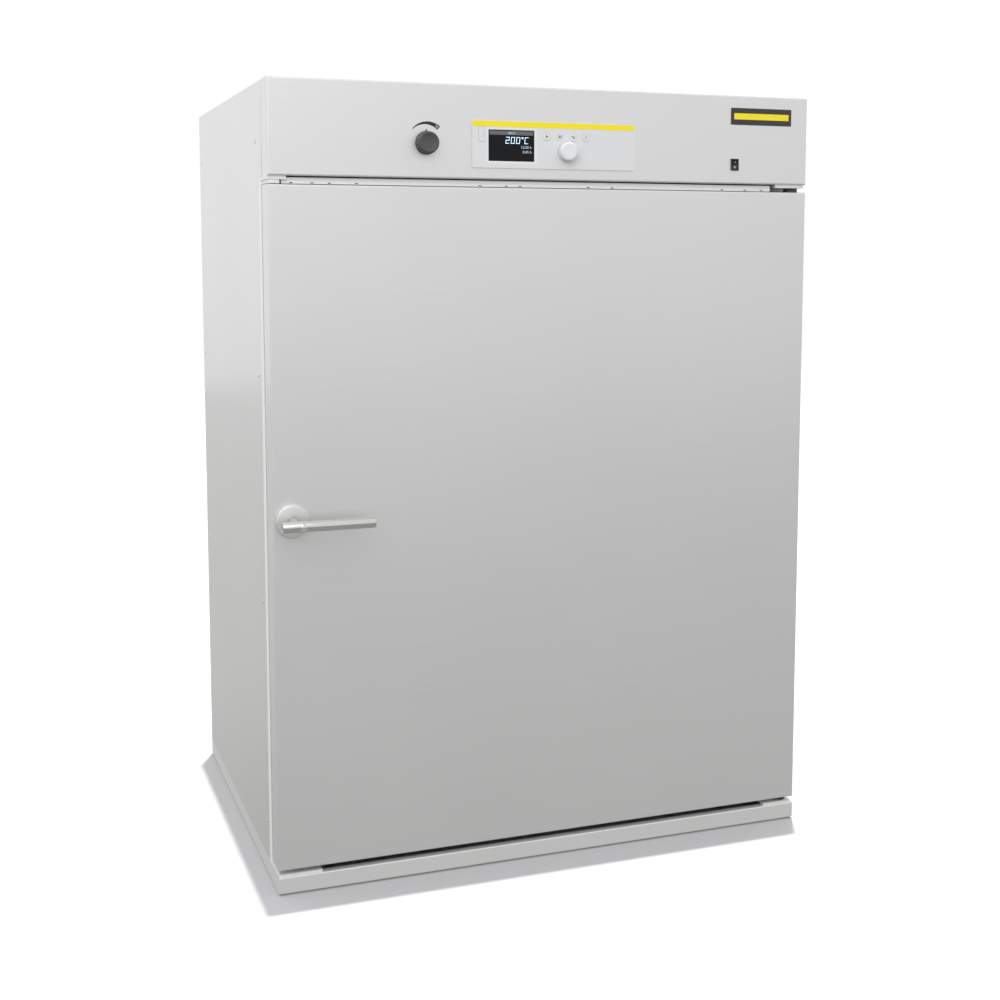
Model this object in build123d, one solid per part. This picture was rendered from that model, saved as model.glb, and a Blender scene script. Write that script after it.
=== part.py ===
from build123d import *
import os

os.makedirs("parts", exist_ok=True)

# A floor-standing drying oven, in millimetres: X to the right, Y to the back, Z up.
# The origin is on the floor, in the middle of the object's box.

# Body
body_width = 1000
body_depth = 745
body_height = 1370
fascia_height = 157
door_thickness = 48
seal_gap = 8
frame_depth = 22
door_gap_bottom = 12
door_gap_top = 14

# Sheet metal
skin = 1.5
liner_sheet = 1.0
tray_sheet = 2.0
edge_radius = 2.5
flange = 12

# Base tray and its pads
pad_height = 3
pad_radius = 20
pad_inset = 60
tray_height = 29
tray_lip = 14

# Chamber
chamber_side_wall = 125
chamber_rear_wall = 65
chamber_headroom = 93
chamber_floor = 100
plenum_depth = 79
ceiling_insulation = 69
chamber_width = body_width - 2 * chamber_side_wall
chamber_depth = (body_depth - door_thickness - seal_gap - frame_depth
                 - plenum_depth - liner_sheet - chamber_rear_wall)
chamber_height = body_height - fascia_height - chamber_headroom - chamber_floor

# Door
plug_margin = 15
gasket_margin = 10
gasket_width = 20
gasket_clearance = 0.3
door_hinge_channel = 40
door_lock_channel = 55

# Hinges
pin_from_edge = 20
pin_depth = 22
pin_radius = 6
pin_length = 30
pin_clearance = 0.05
bush_wall = 3
bush_length = 34
bush_flange = 13
hinge_plate_length = 59
hinge_plate_thickness = 4
upper_plate_thickness = 6
hinge_plate_inset = 3
hinge_plate_front = 4
bearing_gap = 0.3
blank_plate_lengths = (27, 47)
blank_upper_length = 31

# Lever and latch
lever_from_edge = 32
lever_height = 645
lever_standoff = 55.2
lever_bar_radius = 9
lever_bar_length = 155
lever_overhang = 27.5
neck_radius = 8
rose_radius = 28
rose_thickness = 8
rose_edge = 2
button_radius = 5
button_from_axis = 6
button_height = 0.8
spindle_side = 8
spindle_engagement = 30
spindle_hole = 6.5
tongue_length = 22
tongue_width = 10
tongue_thickness = 5
tongue_hub = 8
tongue_set_back = 3
keeper_wall = 2
keeper_depth = 12.5
keeper_half = 25
keeper_above = 19
keeper_below = 33

# Exhaust damper
knob_to_bezel = 80
knob_below_top = 99
knob_radius = 19.8
knob_depth = 17.2
knob_gap = 0.3
damper_shaft_radius = 4
damper_bush_wall = 3
damper_bush_length = 8
damper_bush_flange = 4
damper_bush_flange_thickness = 2
exhaust_box_half = 52
exhaust_box_depth = 183.5
riser_radius = 25
riser_from_rear = 95
stub_radius = 40
stub_wall = 2
stub_reach = 62
stub_flange = 12
shutter_gap = 0.3
shutter_rim = 4
shutter_hub_radius = 10
shutter_hub_length = 10
port_inner = 12
port_outer = 34
port_arc = 88
port_angles = (0, 180)
shutter_offset = 45

# Fan, motor and heater
fan_radius = 130
fan_depth = 42
fan_eye = 100
fan_hub = 18
fan_blades = 12
fan_blade_chord = 42
fan_blade_pitch = 32
fan_shaft_radius = 6
fan_shaft_clearance = 0.05
fan_front_gap = 14
shaft_hole = 12
motor_radius = 45
motor_length = 53
motor_flange_side = 110
motor_flange_thickness = 3
motor_ribs = 16
rear_reach = 65
cover_half = 105
louvre_count = 7
louvre_pitch = 22
louvre_length = 140
louvre_width = 5
heater_radius = 165
heater_tube = 4
heater_spacing = 24
probe_radius = 3
probe_reach = 25
probe_below_ceiling = 20
probe_collar = 8
probe_collar_thickness = 4
baffle_slots = 12
baffle_slot_margin = 60
baffle_slot_bridge = 15
baffle_slot_width = 8
baffle_slot_from_wall = 45

# Shelves
rack_levels = 5
rack_first = 150
rack_headroom = 20
rack_pitch = (chamber_height - rack_first - rack_headroom) / rack_levels
rail_width = 23
rail_thickness = 2
rail_lip = 8
rail_front = 32
rail_back = 30
rail_length = chamber_depth - rail_front - rail_back
upright_depth = 8
upright_width = 20
upright_inset = 30
grid_rod = 4
grid_wire = 1.5
grid_brace = 3
grid_wires = 17
grid_side_gap = 3
grid_front_gap = 5
grid_lift = 0.3

# Controller
bezel_width = 303
bezel_height = 79
bezel_below_top = 59
bezel_thickness = 2
bezel_corner = 3
bezel_x = -0.5
knob_x = bezel_x - bezel_width / 2 - knob_to_bezel
housing_margin = 7
housing_depth = 45
housing_wall = 2
display_width = 83.4
display_height = 52.9
display_x = -81
display_below_top = 100
display_depth = 4
key_places = {"key_start": -16, "key_stop": 8.5, "key_back": 33, "key_info": 57}
key_below_top = 83
key_radius = 7
key_clearance = 0.15
key_proud = 0.5
key_collar = 1.5
key_collar_thickness = 1
key_gap = 0.3
jog_x = 21
jog_below_top = 108
jog_radius = 16
jog_depth = 12.9
jog_gap = 1.1
jog_edge = 1.5
jog_shaft_radius = 3
jog_clearance = 0.05
jog_shaft_reach = 9
jog_engagement = 16
encoder_side = 18
encoder_depth = 30
flap_width = 11
flap_height = 25
flap_x = -135
flap_below_top = 81.5
flap_thickness = 1.4
flap_gap = 0.3
usb_width = 7
usb_height = 15
usb_wall = 0.8
usb_tongue = 2

# Mains switch
switch_from_edge = 149.3
switch_below_top = 123
switch_width = 15.5
switch_height = 21
switch_flange = 2
switch_body_depth = 20
switch_wall = 1.4
rocker_clearance = 0.3
rocker_swing_room = 1.0
rocker_pivot_depth = 2
rocker_front = 3
rocker_rise = 1.2
rocker_back = 3
rocker_tilt = 8
rocker_pin_radius = 1

# Small fittings
blank_plate_width = 124
blank_plate_height = 30
blank_plate_from_edge = 96
blank_plate_below_top = 36.5
blank_plate_thickness = 1
relay_from_edge = 210
relay_width = 90
relay_depth = 60
relay_height = 62
relay_count = 3
relay_spacing = 1
mounting_rail_height = 8
mounting_rail_width = 35
mounting_rail_overhang = 20
gland_from_edge = 100
gland_below_top = 120
gland_radius = 12
gland_bore = 5
gland_outside = 24
gland_thread = 10
gland_nut = 9.6
gland_inside = 10
screw_head = 4
screw_head_height = 1
screw_shank = 2
screw_inset = 25
side_screw_rows = 4
side_screw_first = 95
side_screw_last = 96
side_screw_pitch = (body_height - side_screw_first - side_screw_last) / (side_screw_rows - 1)
vent_hole = 2.2
vent_hole_depth = 61
vent_hole_below_top = 7

# Planes that the pieces share
half_width = body_width / 2
switch_x = half_width - switch_from_edge
blank_plate_x = half_width - blank_plate_from_edge
relay_x = half_width - relay_from_edge
gland_x = half_width - gland_from_edge
lever_reach = lever_standoff + lever_bar_radius + button_height
y_front = lever_reach - (lever_reach + body_depth + rear_reach) / 2
y_door_back = y_front + door_thickness
y_frame = y_door_back + seal_gap
y_panel = y_frame + frame_depth
y_baffle = y_panel + chamber_depth
y_liner_back = y_baffle + liner_sheet + plenum_depth
y_rear = y_front + body_depth
y_rear_inner = y_rear - skin
z_tray_top = pad_height + tray_height
z_base = z_tray_top + skin
z_fascia = body_height - fascia_height
z_door_bottom = z_tray_top + door_gap_bottom
z_door_top = z_fascia - door_gap_top
z_top_inner = body_height - skin
z_ceiling = chamber_floor + chamber_height
z_deck = z_ceiling + liner_sheet + ceiling_insulation
half_chamber = chamber_width / 2
half_inner = half_width - skin
z_fan = chamber_floor + chamber_height / 2
z_knob = body_height - knob_below_top
rail_tops = [chamber_floor + rack_first + level * rack_pitch for level in range(rack_levels)]
lever_x = lever_from_edge - half_width
hinge_x = half_width - pin_from_edge
y_hinge = y_front + pin_depth


def block(x0, x1, y0, y1, z0, z1):
    """A box between two corners."""
    centre = Pos((x0 + x1) / 2, (y0 + y1) / 2, (z0 + z1) / 2)
    return centre * Box(x1 - x0, y1 - y0, z1 - z0)


def rod_x(x0, x1, y, z, radius):
    return Pos((x0 + x1) / 2, y, z) * Rot(0, 90, 0) * Cylinder(radius, x1 - x0)


def rod_y(x, y0, y1, z, radius):
    return Pos(x, (y0 + y1) / 2, z) * Rot(90, 0, 0) * Cylinder(radius, y1 - y0)


def rod_z(x, y, z0, z1, radius):
    return Pos(x, y, (z0 + z1) / 2) * Cylinder(radius, z1 - z0)


def round_front(shape, radius):
    """Rounds the edges of the face that looks to the front."""
    return fillet(shape.faces().sort_by(Axis.Y)[0].edges(), radius)


def mirrored(shape):
    """The same piece on the other side of the oven."""
    return mirror(shape, about=Plane.YZ)


def group(solids):
    return Compound(children=[solid for part in solids for solid in part.solids()])


# Base

def base_tray():
    tray = block(-half_width, half_width, y_front, y_rear, pad_height, z_tray_top)
    tray = round_front(tray, min(edge_radius, tray_sheet))
    inner = half_width - tray_sheet
    tray -= block(-inner, inner, y_front + tray_sheet, y_rear - tray_sheet,
                  pad_height + tray_sheet, z_tray_top - tray_sheet)
    mouth = half_width - tray_lip
    return tray - block(-mouth, mouth, y_front + tray_lip, y_rear - tray_lip,
                        z_tray_top - tray_sheet, z_tray_top)


def floor_pads():
    reach = half_width - pad_inset
    return group([
        rod_z(x, y, 0, pad_height, pad_radius)
        for x in (-reach, reach)
        for y in (y_front + pad_inset, y_rear - pad_inset)
    ])


def base_plate():
    return block(-half_inner, half_inner, y_panel, y_rear_inner, z_tray_top, z_base)


# Casing

def screw_heights():
    return [side_screw_first + row * side_screw_pitch for row in range(side_screw_rows)]


def side_screw_places():
    return [(y, z) for y in (y_panel + screw_inset, y_rear - screw_inset) for z in screw_heights()]


def side_panel():
    panel = block(half_inner, half_width, y_panel, y_rear_inner, z_tray_top, z_top_inner)
    for y in (y_panel, y_rear_inner - skin):
        panel += block(half_inner - flange, half_inner, y, y + skin, z_base, z_deck)
    for y, z in side_screw_places():
        panel -= rod_x(half_inner, half_width, y, z, screw_shank)
    return panel


def top_panel():
    return block(-half_width, half_width, y_panel, y_rear, z_top_inner, body_height)


def rear_screw_places():
    reach = half_width - screw_inset
    return [(x, z) for x in (-reach, reach) for z in screw_heights()]


def rear_panel():
    panel = block(-half_width, half_width, y_rear_inner, y_rear, z_tray_top, z_top_inner)
    panel -= rod_y(0, y_rear_inner, y_rear, z_fan, shaft_hole)
    panel -= rod_y(knob_x, y_rear_inner, y_rear, z_knob, stub_radius - stub_wall)
    panel -= rod_y(gland_x, y_rear_inner, y_rear, body_height - gland_below_top, gland_radius - 2)
    for x, z in rear_screw_places():
        panel -= rod_y(x, y_rear_inner, y_rear, z, screw_shank)
    return panel


def panel_screws():
    screws = []
    for y, z in side_screw_places():
        screw = rod_x(half_width, half_width + screw_head_height, y, z, screw_head)
        screw += rod_x(half_inner, half_width, y, z, screw_shank)
        screws += [screw, mirrored(screw)]
    for x, z in rear_screw_places():
        screws.append(rod_y(x, y_rear, y_rear + screw_head_height, z, screw_head)
                      + rod_y(x, y_rear_inner, y_rear, z, screw_shank))
    return group(screws)


def front_frame():
    frame = block(-half_width, half_width, y_frame, y_panel, z_tray_top, z_fascia)
    frame -= block(-half_inner, half_inner, y_frame + skin, y_panel,
                   z_tray_top + skin, z_fascia - skin)
    collar = half_chamber + liner_sheet
    frame += block(-collar, collar, y_frame, y_panel,
                   chamber_floor - liner_sheet, z_ceiling + liner_sheet)
    frame -= block(-half_chamber, half_chamber, y_frame, y_panel, chamber_floor, z_ceiling)
    return frame - block(lever_x - keeper_half, lever_x + keeper_half, y_frame, y_frame + skin,
                         lever_height - keeper_below, lever_height + keeper_above)


def fascia():
    shell = block(-half_width, half_width, y_front, y_panel, z_fascia, body_height)
    shell = round_front(shell, edge_radius)
    shell -= block(-half_inner, half_inner, y_front + skin, y_panel,
                   z_fascia + skin, z_top_inner)
    sheet = (y_front, y_front + skin)
    x0, x1, z0, z1 = housing_outline()
    shell -= block(x0, x1, *sheet, z0, z1)
    shell -= rod_y(knob_x, *sheet, z_knob, damper_shaft_radius + pin_clearance + damper_bush_wall)
    x0, x1, z0, z1 = switch_body_outline()
    shell -= block(x0, x1, *sheet, z0, z1)
    z = body_height - vent_hole_below_top
    return shell - rod_x(-half_width, half_width, y_front + vent_hole_depth, z, vent_hole)


def control_deck():
    deck = block(-half_inner, half_inner, y_panel, y_rear_inner, z_deck, z_deck + skin)
    return deck - rod_z(knob_x, y_riser(), z_deck, z_deck + skin, riser_radius)


# Chamber

def y_riser():
    return y_rear_inner - riser_from_rear


def probe_z():
    return z_ceiling - probe_below_ceiling


def liner():
    wall = half_chamber + liner_sheet
    box = block(-wall, wall, y_panel, y_liner_back + liner_sheet,
                chamber_floor - liner_sheet, z_ceiling + liner_sheet)
    box -= block(-half_chamber, half_chamber, y_panel, y_liner_back, chamber_floor, z_ceiling)
    back = (y_liner_back, y_liner_back + liner_sheet)
    box -= rod_y(0, *back, z_fan, shaft_hole)
    box -= rod_y(0, *back, probe_z(), probe_radius)
    for x in heater_terminals():
        box -= rod_y(x, *back, z_fan - heater_radius, heater_tube)
    riser = riser_radius - liner_sheet
    return box - rod_z(knob_x, y_riser(), z_ceiling, z_ceiling + liner_sheet, riser)


def insulation_slabs():
    y0 = y_panel + skin
    y1 = y_rear_inner - skin
    wall = half_chamber + liner_sheet
    side = block(wall, half_inner, y0, y1, z_base, z_deck)
    floor = block(-wall, wall, y0, y1, z_base, chamber_floor - liner_sheet)
    ceiling = block(-wall, wall, y0, y1, z_ceiling + liner_sheet, z_deck)
    ceiling -= rod_z(knob_x, y_riser(), z_ceiling, z_deck, riser_radius)
    back = (y_liner_back + liner_sheet, y1)
    rear = block(-wall, wall, *back, chamber_floor - liner_sheet, z_ceiling + liner_sheet)
    rear -= rod_y(0, *back, z_fan, shaft_hole)
    rear -= rod_y(0, *back, probe_z(), probe_radius)
    for x in heater_terminals():
        rear -= rod_y(x, *back, z_fan - heater_radius, heater_tube)
    return group([side, mirrored(side), floor, ceiling, rear])


def air_baffle():
    sheet = (y_baffle, y_baffle + liner_sheet)
    baffle = block(-half_chamber, half_chamber, *sheet, chamber_floor, z_ceiling)
    baffle -= rod_y(0, *sheet, z_fan, fan_eye)
    baffle -= rod_y(0, *sheet, probe_z(), probe_radius)
    x = half_chamber - baffle_slot_from_wall
    pitch = (chamber_height - 2 * baffle_slot_margin) / baffle_slots
    half = (pitch - baffle_slot_bridge) / 2
    for row in range(baffle_slots):
        z = z_fan + (row - (baffle_slots - 1) / 2) * pitch
        for side in (-x, x):
            baffle -= block(side - baffle_slot_width / 2, side + baffle_slot_width / 2, *sheet,
                            z - half, z + half)
    return baffle


# Shelves

def shelf_rack():
    """Two uprights with a rail hung on them at every level."""
    y0 = y_panel + rail_front
    y1 = y0 + rail_length
    face = half_chamber - upright_depth
    parts = [block(face, half_chamber, y, y + upright_width, chamber_floor, rail_tops[-1] + rack_pitch / 2)
             for y in (y0 + upright_inset, y1 - upright_inset - upright_width)]
    for z in rail_tops:
        rail = block(half_chamber - rail_width, face, y0, y1, z - rail_thickness, z)
        parts.append(rail + block(face - rail_thickness, face, y0, y1, z, z + rail_lip))
    return group(parts)


def wire_grid(rail_top):
    z = rail_top + grid_lift + grid_rod
    x = half_chamber - upright_depth - grid_side_gap - grid_rod
    y0 = y_panel + rail_front + grid_front_gap + grid_rod
    y1 = y_panel + rail_front + rail_length - grid_front_gap - grid_rod
    grid = rod_x(-x, x, y0, z, grid_rod) + rod_x(-x, x, y1, z, grid_rod)
    grid += rod_y(-x, y0, y1, z, grid_rod) + rod_y(x, y0, y1, z, grid_rod)
    for corner_x in (-x, x):
        for corner_y in (y0, y1):
            grid += Pos(corner_x, corner_y, z) * Sphere(grid_rod)
    grid += rod_x(-x, x, (y0 + y1) / 2, z, grid_brace)
    pitch = 2 * x / (grid_wires + 1)
    for wire in range(grid_wires):
        wire_x = (wire - (grid_wires - 1) / 2) * pitch
        grid += rod_y(wire_x, y0, y1, z, grid_wire)
    return grid


# Fan, heater and motor

def fan_impeller():
    y0 = y_baffle + liner_sheet + fan_front_gap
    y1 = y0 + fan_depth
    wheel = rod_y(0, y1 - skin, y1, z_fan, fan_radius)
    wheel += rod_y(0, y0, y0 + skin, z_fan, fan_radius) - rod_y(0, y0, y0 + skin, z_fan, fan_eye)
    wheel += rod_y(0, y0 + skin, y1, z_fan, fan_hub)
    blade = Pos(fan_radius - fan_blade_chord / 2 - skin, 0, 0)
    blade *= Rot(0, 0, fan_blade_pitch) * Box(fan_blade_chord, skin, y1 - y0 - skin)
    for turn in range(fan_blades):
        spun = Rot(0, 0, turn * 360 / fan_blades) * blade
        wheel += Pos(0, (y0 + y1) / 2, z_fan) * Rot(90, 0, 0) * spun
    return wheel - rod_y(0, y0, y1, z_fan, fan_shaft_radius)


def fan_shaft():
    y0 = y_baffle + liner_sheet + fan_front_gap
    return rod_y(0, y0, y_rear + motor_flange_thickness + motor_length / 2, z_fan, fan_shaft_radius)


def fan_motor():
    half = motor_flange_side / 2
    y1 = y_rear + motor_flange_thickness
    motor = block(-half, half, y_rear, y1, z_fan - half, z_fan + half)
    motor += rod_y(0, y1, y1 + motor_length, z_fan, motor_radius)
    for rib in range(motor_ribs):
        fin = Rot(0, 0, rib * 360 / motor_ribs) * Pos(motor_radius, 0, 0) * Box(8, skin, motor_length - 10)
        motor += Pos(0, y1 + motor_length / 2, z_fan) * Rot(90, 0, 0) * fin
    bore = fan_shaft_radius + fan_shaft_clearance
    return motor - rod_y(0, y_rear, y1 + motor_length / 2 + 1, z_fan, bore)


def motor_cover():
    y1 = y_rear + rear_reach
    cover = block(-cover_half, cover_half, y_rear, y1, z_fan - cover_half, z_fan + cover_half)
    cover = fillet(cover.faces().sort_by(Axis.Y)[-1].edges(), edge_radius)
    inner = cover_half - skin
    cover -= block(-inner, inner, y_rear, y1 - skin, z_fan - inner, z_fan + inner)
    for row in range(louvre_count):
        z = z_fan + (row - (louvre_count - 1) / 2) * louvre_pitch
        z0 = z - louvre_width / 2
        cover -= block(-louvre_length / 2, louvre_length / 2, y1 - skin, y1, z0, z0 + louvre_width)
    return cover


def heater_terminals():
    return (-3 * heater_tube, 3 * heater_tube)


def ring_heater():
    middle = y_baffle + liner_sheet + fan_front_gap + fan_depth / 2
    rings = (middle - heater_spacing / 2, middle + heater_spacing / 2)
    heater = None
    for y in rings:
        ring = Pos(0, y, z_fan) * Rot(90, 0, 0) * Torus(heater_radius, heater_tube)
        heater = ring if heater is None else heater + ring
    for x in heater_terminals():
        z = z_fan - heater_radius
        heater += rod_y(x, rings[0], y_rear_inner - skin, z, heater_tube)
    return heater


def temperature_probe():
    probe = rod_y(0, y_baffle - probe_reach, y_rear_inner - skin, probe_z(), probe_radius)
    return probe + rod_y(0, y_liner_back - probe_collar_thickness, y_liner_back, probe_z(), probe_collar)


# Exhaust with its damper

def port(y0, y1, angle):
    """One opening of the rotary shutter. Its middle lies at angle, seen from the front."""
    placed = (Align.NONE, Align.NONE, Align.CENTER)
    sector = Cylinder(port_outer, y1 - y0, arc_size=port_arc, align=placed)
    sector -= Cylinder(port_inner, y1 - y0)
    return Pos(knob_x, (y0 + y1) / 2, z_knob) * Rot(90, 0, 0) * Rot(0, 0, angle - port_arc / 2) * sector


def exhaust_box():
    half = exhaust_box_half
    y0 = y_rear_inner - exhaust_box_depth
    outline = (knob_x - half, knob_x + half)
    box = block(*outline, y0, y_rear_inner, z_knob - half, z_knob + half)
    box -= block(outline[0] + skin, outline[1] - skin, y0 + skin, y_rear_inner - skin,
                 z_knob - half + skin, z_knob + half - skin)
    foot = z_ceiling + liner_sheet
    box += rod_z(knob_x, y_riser(), foot, z_knob - half + skin, riser_radius)
    box -= rod_z(knob_x, y_riser(), foot, z_knob - half + skin, riser_radius - liner_sheet)
    box -= rod_y(knob_x, y0, y0 + skin, z_knob, damper_shaft_radius + pin_clearance + damper_bush_wall)
    box -= rod_y(knob_x, y_rear_inner - skin, y_rear_inner, z_knob, damper_shaft_radius + pin_clearance)
    for angle in port_angles:
        box -= port(y_rear_inner - skin, y_rear_inner, angle)
    return box


def exhaust_stub():
    """A rolled pipe that stands on its wall flange."""
    flange_face = y_rear + stub_wall
    bore = stub_radius - stub_wall
    ring = rod_y(knob_x, y_rear, flange_face, z_knob, stub_radius + stub_flange)
    ring -= rod_y(knob_x, y_rear, flange_face, z_knob, bore)
    pipe = rod_y(knob_x, flange_face, y_rear + stub_reach, z_knob, stub_radius)
    pipe -= rod_y(knob_x, flange_face, y_rear + stub_reach, z_knob, bore)
    return group([pipe, ring])


def damper_shutter():
    y1 = y_rear_inner - skin - shutter_gap
    y0 = y1 - skin
    disc = rod_y(knob_x, y0, y1, z_knob, port_outer + shutter_rim)
    disc += rod_y(knob_x, y0 - shutter_hub_length, y0, z_knob, shutter_hub_radius)
    disc -= rod_y(knob_x, y0 - shutter_hub_length, y1, z_knob, damper_shaft_radius)
    for angle in port_angles:
        disc -= port(y0, y1, angle + shutter_offset)
    return disc


def damper_shaft():
    return rod_y(knob_x, y_front - knob_depth / 2, y_rear_inner, z_knob, damper_shaft_radius)


def damper_bushes():
    def bush(y):
        barrel = damper_shaft_radius + pin_clearance + damper_bush_wall
        ring = rod_y(knob_x, y - skin, y + damper_bush_length, z_knob, barrel)
        ring += rod_y(knob_x, y, y + damper_bush_flange_thickness, z_knob, barrel + damper_bush_flange)
        return ring - rod_y(knob_x, y - skin, y + damper_bush_length, z_knob,
                            damper_shaft_radius + pin_clearance)
    return group([bush(y_front + skin), bush(y_rear_inner - exhaust_box_depth + skin)])


def exhaust_knob():
    y0 = y_front - knob_gap - knob_depth
    knob = rod_y(knob_x, y0, y_front - knob_gap, z_knob, knob_radius)
    knob = round_front(knob, 1.5)
    return knob - rod_y(knob_x, y_front - knob_depth / 2, y_front, z_knob, damper_shaft_radius)


# Controller

def bezel_outline():
    z1 = body_height - bezel_below_top
    return (bezel_x - bezel_width / 2, bezel_x + bezel_width / 2, z1 - bezel_height, z1)


def housing_outline():
    x0, x1, z0, z1 = bezel_outline()
    return (x0 + housing_margin, x1 - housing_margin, z0 + housing_margin, z1 - housing_margin)


def display_outline():
    z = body_height - display_below_top
    half_x = display_width / 2
    half_z = display_height / 2
    return (display_x - half_x, display_x + half_x, z - half_z, z + half_z)


def flap_outline():
    z = body_height - flap_below_top
    return (flap_x - flap_width / 2, flap_x + flap_width / 2, z - flap_height / 2, z + flap_height / 2)


def controller_bezel():
    x0, x1, z0, z1 = bezel_outline()
    panel = block(x0, x1, y_front - bezel_thickness, y_front, z0, z1)
    panel = fillet(panel.edges().filter_by(Axis.Y), bezel_corner)
    sheet = (y_front - bezel_thickness, y_front)
    x0, x1, z0, z1 = display_outline()
    panel -= block(x0, x1, *sheet, z0, z1)
    x0, x1, z0, z1 = flap_outline()
    panel -= block(x0 - flap_gap, x1 + flap_gap, *sheet, z0 - flap_gap, z1 + flap_gap)
    for x in key_places.values():
        panel -= rod_y(x, *sheet, body_height - key_below_top, key_radius + key_clearance)
    return panel - rod_y(jog_x, *sheet, body_height - jog_below_top, jog_shaft_radius + key_clearance)


def controller_housing():
    x0, x1, z0, z1 = housing_outline()
    y1 = y_front + housing_depth
    shell = block(x0, x1, y_front, y1, z0, z1)
    shell -= block(x0 + housing_wall, x1 - housing_wall, y_front, y1 - housing_wall,
                   z0 + housing_wall, z1 - housing_wall)
    z = body_height - jog_below_top
    half = encoder_side / 2
    shell += block(jog_x - half, jog_x + half, y1 - encoder_depth, y1, z - half, z + half)
    return shell - rod_y(jog_x, y1 - encoder_depth, y1 - housing_wall, z, jog_shaft_radius + jog_clearance)


def display_lens():
    x0, x1, z0, z1 = display_outline()
    return block(x0, x1, y_front - bezel_thickness, y_front - bezel_thickness + display_depth, z0, z1)


def key(x):
    z = body_height - key_below_top
    face = y_front - bezel_thickness - key_proud
    cap = rod_y(x, face, y_front + key_gap, z, key_radius)
    return cap + rod_y(x, y_front + key_gap, y_front + key_gap + key_collar_thickness, z,
                       key_radius + key_collar)


def jog_shaft():
    y0 = y_front - bezel_thickness - jog_shaft_reach
    y1 = y_front + housing_depth - encoder_depth + jog_engagement
    return rod_y(jog_x, y0, y1, body_height - jog_below_top, jog_shaft_radius)


def jog_dial():
    y1 = y_front - bezel_thickness - jog_gap
    z = body_height - jog_below_top
    dial = round_front(rod_y(jog_x, y1 - jog_depth, y1, z, jog_radius), jog_edge)
    socket = y_front - bezel_thickness - jog_shaft_reach - bearing_gap
    return dial - rod_y(jog_x, socket, y1, z, jog_shaft_radius + jog_clearance)


def usb_flap():
    x0, x1, z0, z1 = flap_outline()
    y0 = y_front - bezel_thickness
    flap = block(x0, x1, y0, y0 + flap_thickness, z0, z1)
    hinge_edge = flap.edges().filter_by(Axis.Z).group_by(Axis.X)[0]
    return fillet(hinge_edge, flap_thickness * 0.4)


def usb_socket():
    z = body_height - flap_below_top
    half_x = usb_width / 2
    half_z = usb_height / 2
    y1 = y_front + housing_depth - housing_wall
    can = block(flap_x - half_x, flap_x + half_x, y_front, y1, z - half_z, z + half_z)
    can -= block(flap_x - half_x + usb_wall, flap_x + half_x - usb_wall, y_front, y1 - usb_wall,
                 z - half_z + usb_wall, z + half_z - usb_wall)
    tongue = usb_tongue / 2
    return can + block(flap_x - tongue, flap_x + tongue, y_front + usb_wall, y1,
                       z - half_z + 2 * usb_wall, z + half_z - 2 * usb_wall)


# Mains switch

def switch_opening():
    """Half the width and height of the hole that the rocker tilts in."""
    return (switch_width / 2 - 2, switch_height / 2 - 1.5)


def switch_body_outline():
    half_x, half_z = switch_opening()
    z = body_height - switch_below_top
    half_x += switch_wall
    half_z += switch_wall
    return (switch_x - half_x, switch_x + half_x, z - half_z, z + half_z)


def switch_bezel():
    z = body_height - switch_below_top
    half_x = switch_width / 2
    half_z = switch_height / 2
    frame = block(switch_x - half_x, switch_x + half_x, y_front - switch_flange, y_front,
                  z - half_z, z + half_z)
    frame = round_front(frame, 0.6)
    x0, x1, z0, z1 = switch_body_outline()
    frame += block(x0, x1, y_front, y_front + switch_body_depth, z0, z1)
    half_x, half_z = switch_opening()
    frame -= block(switch_x - half_x, switch_x + half_x, y_front - switch_flange,
                   y_front + switch_body_depth - switch_wall, z - half_z, z + half_z)
    reach = half_x + switch_wall
    return frame - rod_x(switch_x - reach, switch_x + reach, y_front + rocker_pivot_depth, z,
                         rocker_pin_radius + pin_clearance)


def switch_rocker():
    half_x, half_z = switch_opening()
    half_x -= rocker_clearance
    half_z -= rocker_swing_room
    outline = Polyline(
        (-rocker_front, 0),
        (-rocker_front - rocker_rise, half_z),
        (rocker_back, half_z),
        (rocker_back, -half_z),
        (-rocker_front - rocker_rise, -half_z),
        (-rocker_front, 0),
    )
    body = extrude(Plane.YZ * make_face(outline), amount=half_x, both=True)
    pin = half_x + rocker_clearance + switch_wall / 2
    body += rod_x(-pin, pin, 0, 0, rocker_pin_radius)
    place = Pos(switch_x, y_front + rocker_pivot_depth, body_height - switch_below_top)
    return place * Rot(rocker_tilt, 0, 0) * body


# Small fittings

def blank_plate():
    z = body_height - blank_plate_below_top
    half_x = blank_plate_width / 2
    half_z = blank_plate_height / 2
    return block(blank_plate_x - half_x, blank_plate_x + half_x, y_front - blank_plate_thickness, y_front,
                 z - half_z, z + half_z)


def relay_block():
    z0 = z_deck + skin
    half = relay_width / 2
    middle = y_panel + chamber_depth / 2
    reach = half + mounting_rail_overhang
    relays = block(relay_x - reach, relay_x + reach, middle - mounting_rail_width / 2,
                   middle + mounting_rail_width / 2, z0, z0 + mounting_rail_height)
    unit_width = relay_width / relay_count
    for unit in range(relay_count):
        x = relay_x - half + unit * unit_width
        relays += block(x, x + unit_width - relay_spacing, middle - relay_depth / 2,
                        middle + relay_depth / 2, z0 + mounting_rail_height,
                        z0 + mounting_rail_height + relay_height)
    return relays


def cable_gland():
    z = body_height - gland_below_top
    gland = rod_y(gland_x, y_rear_inner - gland_inside, y_rear, z, gland_thread)
    nut = extrude(RegularPolygon(gland_radius, 6), amount=gland_nut)
    gland += Pos(gland_x, y_rear, z) * Rot(-90, 0, 0) * nut
    gland += rod_y(gland_x, y_rear, y_rear + gland_outside, z, gland_thread)
    return gland - rod_y(gland_x, y_rear_inner - gland_inside, y_rear + gland_outside, z, gland_bore)


# Hinges

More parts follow.
